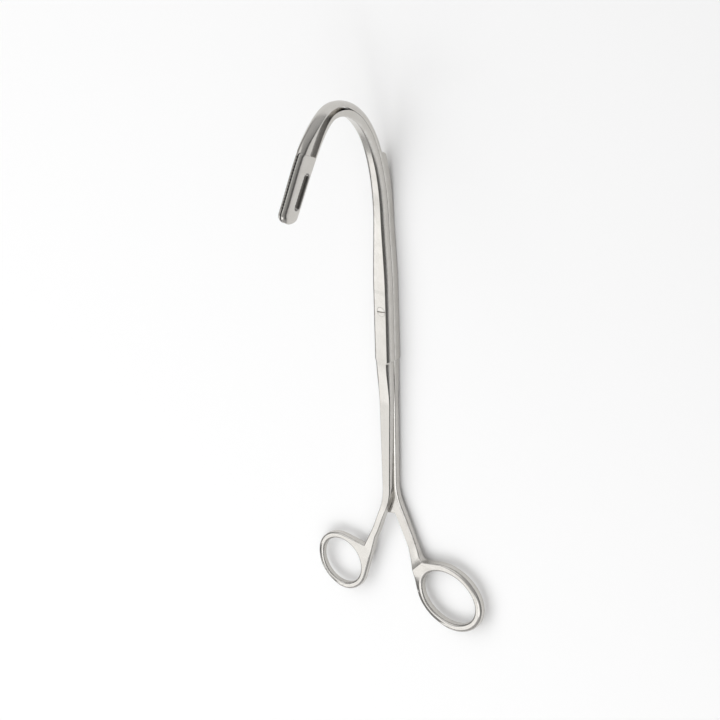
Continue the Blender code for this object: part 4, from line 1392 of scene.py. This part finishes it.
@dataclass
class RearBranch(Branch):
    """Branch with the larger ring: rear half of the joint, outer neck and left jaw."""

    side: Side = Side.REAR
    path: BranchPath = field(default_factory=lambda: BranchPath(Side.REAR, -75.0 * MM, math.radians(26.0)))
    shank_centre: float = 0.15 * MM
    shank_thin: float = 2.4 * MM
    handle_width: float = 4.4 * MM
    plate_start: float = -101.5 * MM
    slot_name: str = "rear_branch_steel"
    body: str = "rear"
    node: str = "rear_branch"
    crease_slope: float = 0.42
    crease_reach: float = 7.0 * MM
    crowned_edge: tuple[float, float] = (1.3 * MM, 0.6 * MM)
    joint_bevel: tuple[float, float] = (0.3 * MM, 1.1 * MM)
    neck_round: tuple[float, float] = (0.49, 0.8)
    link_end: float = 0.05 * MM
    web_top: tuple[float, float] = (-1.4 * MM, -78.0 * MM)
    web_end: tuple[float, float] = (-2.8 * MM, -89.2 * MM)
    web_end_y: float = -88.0 * MM
    web_faces: tuple[float, float] = (1.45 * MM, 3.45 * MM)
    web_edge: float = 0.2 * MM
    web_steps: int = 12

    def sections(self, s: Array) -> tuple[Array, Array]:
        """Sections of the branch below the jaws.

        Args:
            s: Places along the path.

        Returns:
            Outlines and edge masks.
        """
        x0, x1 = self.across(s)
        front = FRONT_HALF + CAD_GAP
        shank = self.thinning(s)
        thick = mix(FRONT_HALF, self.shank_thin, shank)
        settle = self.settle(s)
        level = np.clip(settle, 0.0, 1.0)
        low = s < JOINT_TOP
        neck = self.inner_depth(s) + self.window_depth(s) - self.filling(s)
        q0 = np.where(low, mix(STACK - self.handle_top, STACK - self.ring_top, self.settle_front(s)), neck)
        q1 = np.where(low, mix(front + thick, STACK - self.ring_bottom, settle), self.stack_depth(s))
        round_up = ease(s, self.shoulder_at, self.shoulder_at + self.shoulder_length)
        below = mix(self.rear_edge, self.shank_edge, shank)
        edge = np.stack([mix(below, share * size, round_up)
                         for share, size in zip(self.neck_round, (x1 - x0, q1 - q0))])
        mate = np.stack([mix(self.mating_edge, self.handle_edge, level)] * 2)
        fade = np.maximum(level, ease(s, self.shoulder_at, self.apex_at))
        crowned = np.stack([mix(mix(joint, low_edge, shank), plain, fade) for joint, low_edge, plain
                            in zip(self.joint_bevel, self.crowned_edge, mate)])
        return rounded_outlines(x0, x1, q0, q1, np.stack([mate, crowned, edge, edge]))

    def bridge(self, s: Array) -> tuple[Array, Array]:
        """Sections of the short link between the outer neck and the root of the jaw.

        Args:
            s: Places along the path.

        Returns:
            Outlines and edge masks.
        """
        q0 = self.inner_depth(s) + self.window_depth(s)
        half = 0.5 * self.width(s)
        radii = np.full((4, 2, len(s)), self.mating_edge)
        radii[2] = self.jaws.parting_chamfer
        radii[3, 0] = half
        radii[3, 1] = self.jaws.back_round
        fillet = self.seam(s) - 0.5 * JAW_GAP
        return rounded_outlines(-half, fillet, q0, self.stack_depth(s), radii)

    def web(self) -> bpy.types.Object:
        """Stop web in the crotch: a flat plate from the shank's middle towards the front shank.

        Returns:
            The closed piece.
        """
        ends = np.array([self.web_top[1], self.web_end_y])
        on_path = np.stack([self.path.frames(ends)[0][:, 0], ends], axis=-1)
        corners = np.vstack([on_path, self.web_end, self.web_top])
        share = np.linspace(0.0, 1.0, self.web_steps, endpoint=False)[:, None]
        line = np.vstack([mix(a, b, share) for a, b in zip(corners, np.roll(corners, -1, axis=0))])
        back = np.stack([*line.T, np.full(len(line), self.web_faces[0])], axis=-1)
        front = back + np.array([0.0, 0.0, self.web_faces[1] - self.web_faces[0]])
        points = np.vstack([back, front])
        faces = closed_tube(np.stack([back, front]))
        piece = make_piece("stop_web", points, faces, edge=np.zeros(len(points)), grain=points)
        soften = piece.modifiers.new("edge", "BEVEL")
        soften.width = self.web_edge
        soften.segments = 3
        soften.limit_method = "ANGLE"
        soften.angle_limit = math.radians(50.0)
        return piece

    def build(self, steel: bpy.types.Material) -> list[bpy.types.Object]:
        """Build the branch, its web and its ring.

        Args:
            steel: Material of all three.

        Returns:
            The pieces.
        """
        body = self.forging("rear_branch_forging", (0, 1))
        ring = self.ring("rear_finger_ring", notch_y=-104.6 * MM, notch_radius=3.2 * MM,
                         centre=(27.5 * MM, -115.9 * MM), half_axes=(16.3 * MM, 13.6 * MM),
                         tilt=math.radians(-8.0), stock=3.3 * MM,
                         handle_bottom=STACK - FRONT_HALF - CAD_GAP - self.shank_thin,
                         crease_turn=math.radians(18.0), bore_radius=1.25 * MM, flank=(1.6 * MM, 1.3 * MM))
        return self.finish([body, ring, self.web()], steel)


@dataclass
class PivotScrew:
    """Flush slotted screw of the joint."""

    radius: float = 1.9 * MM
    head: float = 1.4 * MM
    shaft: float = 1.2 * MM
    floor: float = 1.3 * MM
    crown: float = 0.1 * MM
    edge: float = 0.08 * MM
    play: float = 0.04 * MM
    slot_width: float = 0.5 * MM
    slot_depth: float = 0.65 * MM
    slot_turn: float = math.radians(12.0)
    lip: float = 0.07 * MM
    face_steps: int = 12
    rim_steps: int = 5

    def hole_cutter(self) -> bpy.types.Object:
        """Body of the screw's counterbore and bore in the front branch.

        Returns:
            The closed cutter.
        """
        seat = STACK - self.head - self.play
        wide, bore, above = self.radius + self.play, self.shaft + self.play, STACK + CUT_MARGIN
        return revolve("screw_hole_cutter", [(0, above), (wide + CUT_MARGIN + self.lip, above),
                                             (wide, STACK - self.lip), (wide, seat), (bore, seat), (bore, 0),
                                             (0, 0)])

    def build(self, steel: bpy.types.Material) -> list[bpy.types.Object]:
        """Turn the screw, cut its slot and tie it to the frame.

        Args:
            steel: Its material.

        Returns:
            The piece.
        """
        top = STACK
        r = np.linspace(0.0, self.radius - self.edge, self.face_steps)
        face = [(float(x), top + self.crown * (1 - float(x / r[-1]) ** 2)) for x in r]
        b = np.linspace(0.0, 0.5 * math.pi, self.rim_steps)[1:]
        rim = [(self.radius - self.edge * (1 - math.sin(a)), top - self.edge * (1 - math.cos(a))) for a in b]
        seat = top - self.head
        under = [(self.radius, seat), (self.shaft, seat), (self.shaft, self.floor), (0.0, self.floor)]
        screw = revolve("slotted_screw", face + rim + under)
        half = np.array([2.0 * self.radius, 0.5 * self.slot_width, self.slot_depth])
        corners = np.array([[x, y, z] for x in (-1, 1) for y in (-1, 1) for z in (-1, 1)]) * half
        c, s = math.cos(self.slot_turn), math.sin(self.slot_turn)
        corners = corners @ np.array([[c, s, 0], [-s, c, 0], [0, 0, 1]]) + np.array([0, 0, top + self.crown])
        sides = [[0, 1, 3, 2], [4, 6, 7, 5], [0, 4, 5, 1], [2, 3, 7, 6], [0, 2, 6, 4], [1, 5, 7, 3]]
        carve(screw, make_piece("screw_slot_cutter", corners, sides))
        screw.data.materials.clear()
        screw.data.materials.append(steel)
        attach(screw, "rear")
        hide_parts("pivot_screw")
        return [screw]


# ---- Stage


@dataclass(frozen=True)
class Panel:
    """Softbox that faces the object: a rectangle of one radiance.

    Its way is the direction in which it stands. Its size is its width and its height, which lies in the plane
    of Y, and shift is how far it is moved along its height.
    """

    name: str
    way: tuple[float, float, float]
    size: tuple[float, float]
    shift: float
    radiance: float
    distance: float = 0.85

    def light(self, middle: Vector) -> None:
        """Set up the light.

        Args:
            middle: Point that it faces.
        """
        back = Vector(self.way).normalized()
        height = (Vector((0.0, 1.0, 0.0)) - back * back.y).normalized()
        data = bpy.data.lights.new(self.name, "AREA")
        data.shape = "RECTANGLE"
        data.size, data.size_y = self.size
        data.energy = self.radiance * math.pi * self.size[0] * self.size[1]
        turn = Matrix((height.cross(back), height, back)).transposed().to_4x4()
        place = middle + back * self.distance + height * self.shift
        add_object(self.name, data).matrix_world = Matrix.Translation(place) @ turn


KEY_WAY = (-0.565, -0.477, 0.673)
PANELS = (Panel("key_upper", KEY_WAY, (0.62, 0.36), 0.17, 0.98),
          Panel("key_middle", KEY_WAY, (0.62, 0.05), -0.035, 0.42),
          Panel("key_lower", KEY_WAY, (0.62, 0.28), -0.2, 0.92),
          Panel("back_softbox", (-0.42, 0.5, 0.76), (0.66, 0.5), 0.0, 0.5),
          Panel("top_softbox", (0.16, -0.477, 0.86), (0.55, 0.5), 0.0, 1.25))


@dataclass
class Studio:
    """Plain floor, soft studio light and the camera at the photograph's angle."""

    turn: float = math.radians(40.0)
    height: float = math.radians(28.5)
    roll: float = math.radians(1.5)
    scale: float = 0.38 * MM
    frame_pixels: int = 720
    pivot_pixel: tuple[float, float] = (381.0, 312.0)
    distance: float = 0.9
    floor_size: float = 12.0
    floor_colour: tuple[float, float, float] = (0.95, 0.95, 0.95)
    floor_roughness: float = 0.9
    dome: float = 0.5
    horizon: float = 0.15
    horizon_end: float = 0.2
    dome_start: float = 0.56
    dome_left: float = 1.2
    dome_right: float = 0.75
    dome_sides: tuple[float, float] = (-0.8, 0.8)
    behind: tuple[float, float] = (0.3, 1.0)
    behind_lift: float = 0.7
    before: tuple[float, float] = (-0.68, -0.82)
    before_lift: float = 0.45
    fill_strength: float = 0.95
    fill_angle: float = math.radians(130.0)

    def axes(self) -> tuple[Vector, Vector, Vector]:
        """Axes of the picture.

        Returns:
            Directions to the right, up and towards the camera.
        """
        c, s = math.cos, math.sin
        right = Vector((c(self.turn), 0.0, -s(self.turn)))
        up = Vector((-s(self.height) * s(self.turn), c(self.height), -s(self.height) * c(self.turn)))
        r = c(self.roll) * right - s(self.roll) * up
        u = s(self.roll) * right + c(self.roll) * up
        return r, u, r.cross(u)

    def middle(self) -> Vector:
        """Point that the camera looks at, so that the pivot falls on its place in the picture.

        Returns:
            The point.
        """
        right, up, _ = self.axes()
        half = 0.5 * self.frame_pixels
        across = (half - self.pivot_pixel[0]) * self.scale
        along = (self.pivot_pixel[1] - half) * self.scale
        return Vector((0.0, 0.0, STACK)) + right * across + up * along

    def camera(self) -> bpy.types.Object:
        """Orthographic camera on the object.

        Returns:
            The camera object.
        """
        right, up, back = self.axes()
        data = bpy.data.cameras.new("camera")
        data.type = "ORTHO"
        data.ortho_scale = self.frame_pixels * self.scale
        camera = add_object("camera", data)
        turn = Matrix((right, up, back)).transposed().to_4x4()
        camera.matrix_world = Matrix.Translation(self.middle() + back * self.distance) @ turn
        bpy.context.scene.camera = camera
        return camera

    def floor(self) -> bpy.types.Object:
        """Large plain floor under the joint's flat back.

        Returns:
            The floor object.
        """
        half = 0.5 * self.floor_size
        points = np.array([[-half, -half, 0], [half, -half, 0], [half, half, 0], [-half, half, 0]])
        floor = make_piece("floor", points, [[0, 1, 2, 3]])
        paint = bpy.data.materials.new("floor_paint")
        paint.use_nodes = True
        shader = paint.node_tree.nodes["Principled BSDF"].inputs
        shader["Base Color"].default_value = (*self.floor_colour, 1.0)
        shader["Roughness"].default_value = self.floor_roughness
        shader["Specular IOR Level"].default_value = 0.0
        floor.data.materials.append(paint)
        return floor

    def lights(self) -> None:
        """Softboxes and a broad overhead fill that polished faces don't mirror."""
        for panel in PANELS:
            panel.light(self.middle())
        data = bpy.data.lights.new("overhead_fill", "SUN")
        data.energy = self.fill_strength
        data.angle = self.fill_angle
        add_object("overhead_fill", data).visible_glossy = False

    def sky(self) -> None:
        """Pale dome: darker towards the horizon, except behind and before the object, and darker on the right."""
        world = bpy.data.worlds.new("studio")
        world.use_nodes = True
        tree = world.node_tree
        way = add_node(tree, "ShaderNodeTexCoord")
        axis = add_node(tree, "ShaderNodeSeparateXYZ", {0: way.outputs["Generated"]}).outputs
        behind = add_ramp(tree, axis["Y"], self.behind, (0.0, self.behind_lift))
        before = add_ramp(tree, axis["Y"], self.before, (0.0, self.before_lift))
        raised = add_math(tree, "ADD", axis["Z"], add_math(tree, "ADD", behind, before))
        height = add_ramp(tree, raised, (self.horizon_end, self.dome_start), (self.horizon, self.dome),
                          interpolation_type="SMOOTHSTEP")
        side = add_ramp(tree, axis["X"], self.dome_sides, (self.dome_left, self.dome_right))
        backdrop = tree.nodes["Background"].inputs
        backdrop["Color"].default_value = (1.0, 1.0, 1.0, 1.0)
        tree.links.new(add_math(tree, "MULTIPLY", height, side), backdrop["Strength"])
        bpy.context.scene.world = world

    def build(self) -> None:
        """Set up the camera, the floor, the lights and the dome."""
        self.camera()
        self.floor()
        self.lights()
        self.sky()
        bpy.context.scene.view_settings.view_transform = "Standard"


def main() -> None:
    """Build the stage and the pieces in order, and report each."""
    logging.basicConfig(level=logging.INFO, format="%(name)s: %(message)s", stream=sys.stdout)
    Studio().build()
    polish, wear = polish_group(), wear_group()
    front_steel = SteelFinish("front_branch_polished").make(polish, wear)
    rear_steel = SteelFinish("rear_branch_polished").make(polish, wear)
    screw_steel = SteelFinish("screw_turned", fineness=9000.0, stretch=3.0, roughness=0.18).make(polish, wear)
    for maker, steel in ((FrontBranch(), front_steel), (RearBranch(), rear_steel), (PivotScrew(), screw_steel)):
        for piece in maker.build(steel):
            LOG.info("%s: %d faces", piece.name, len(piece.data.polygons))


if __name__ == "__main__":
    main()
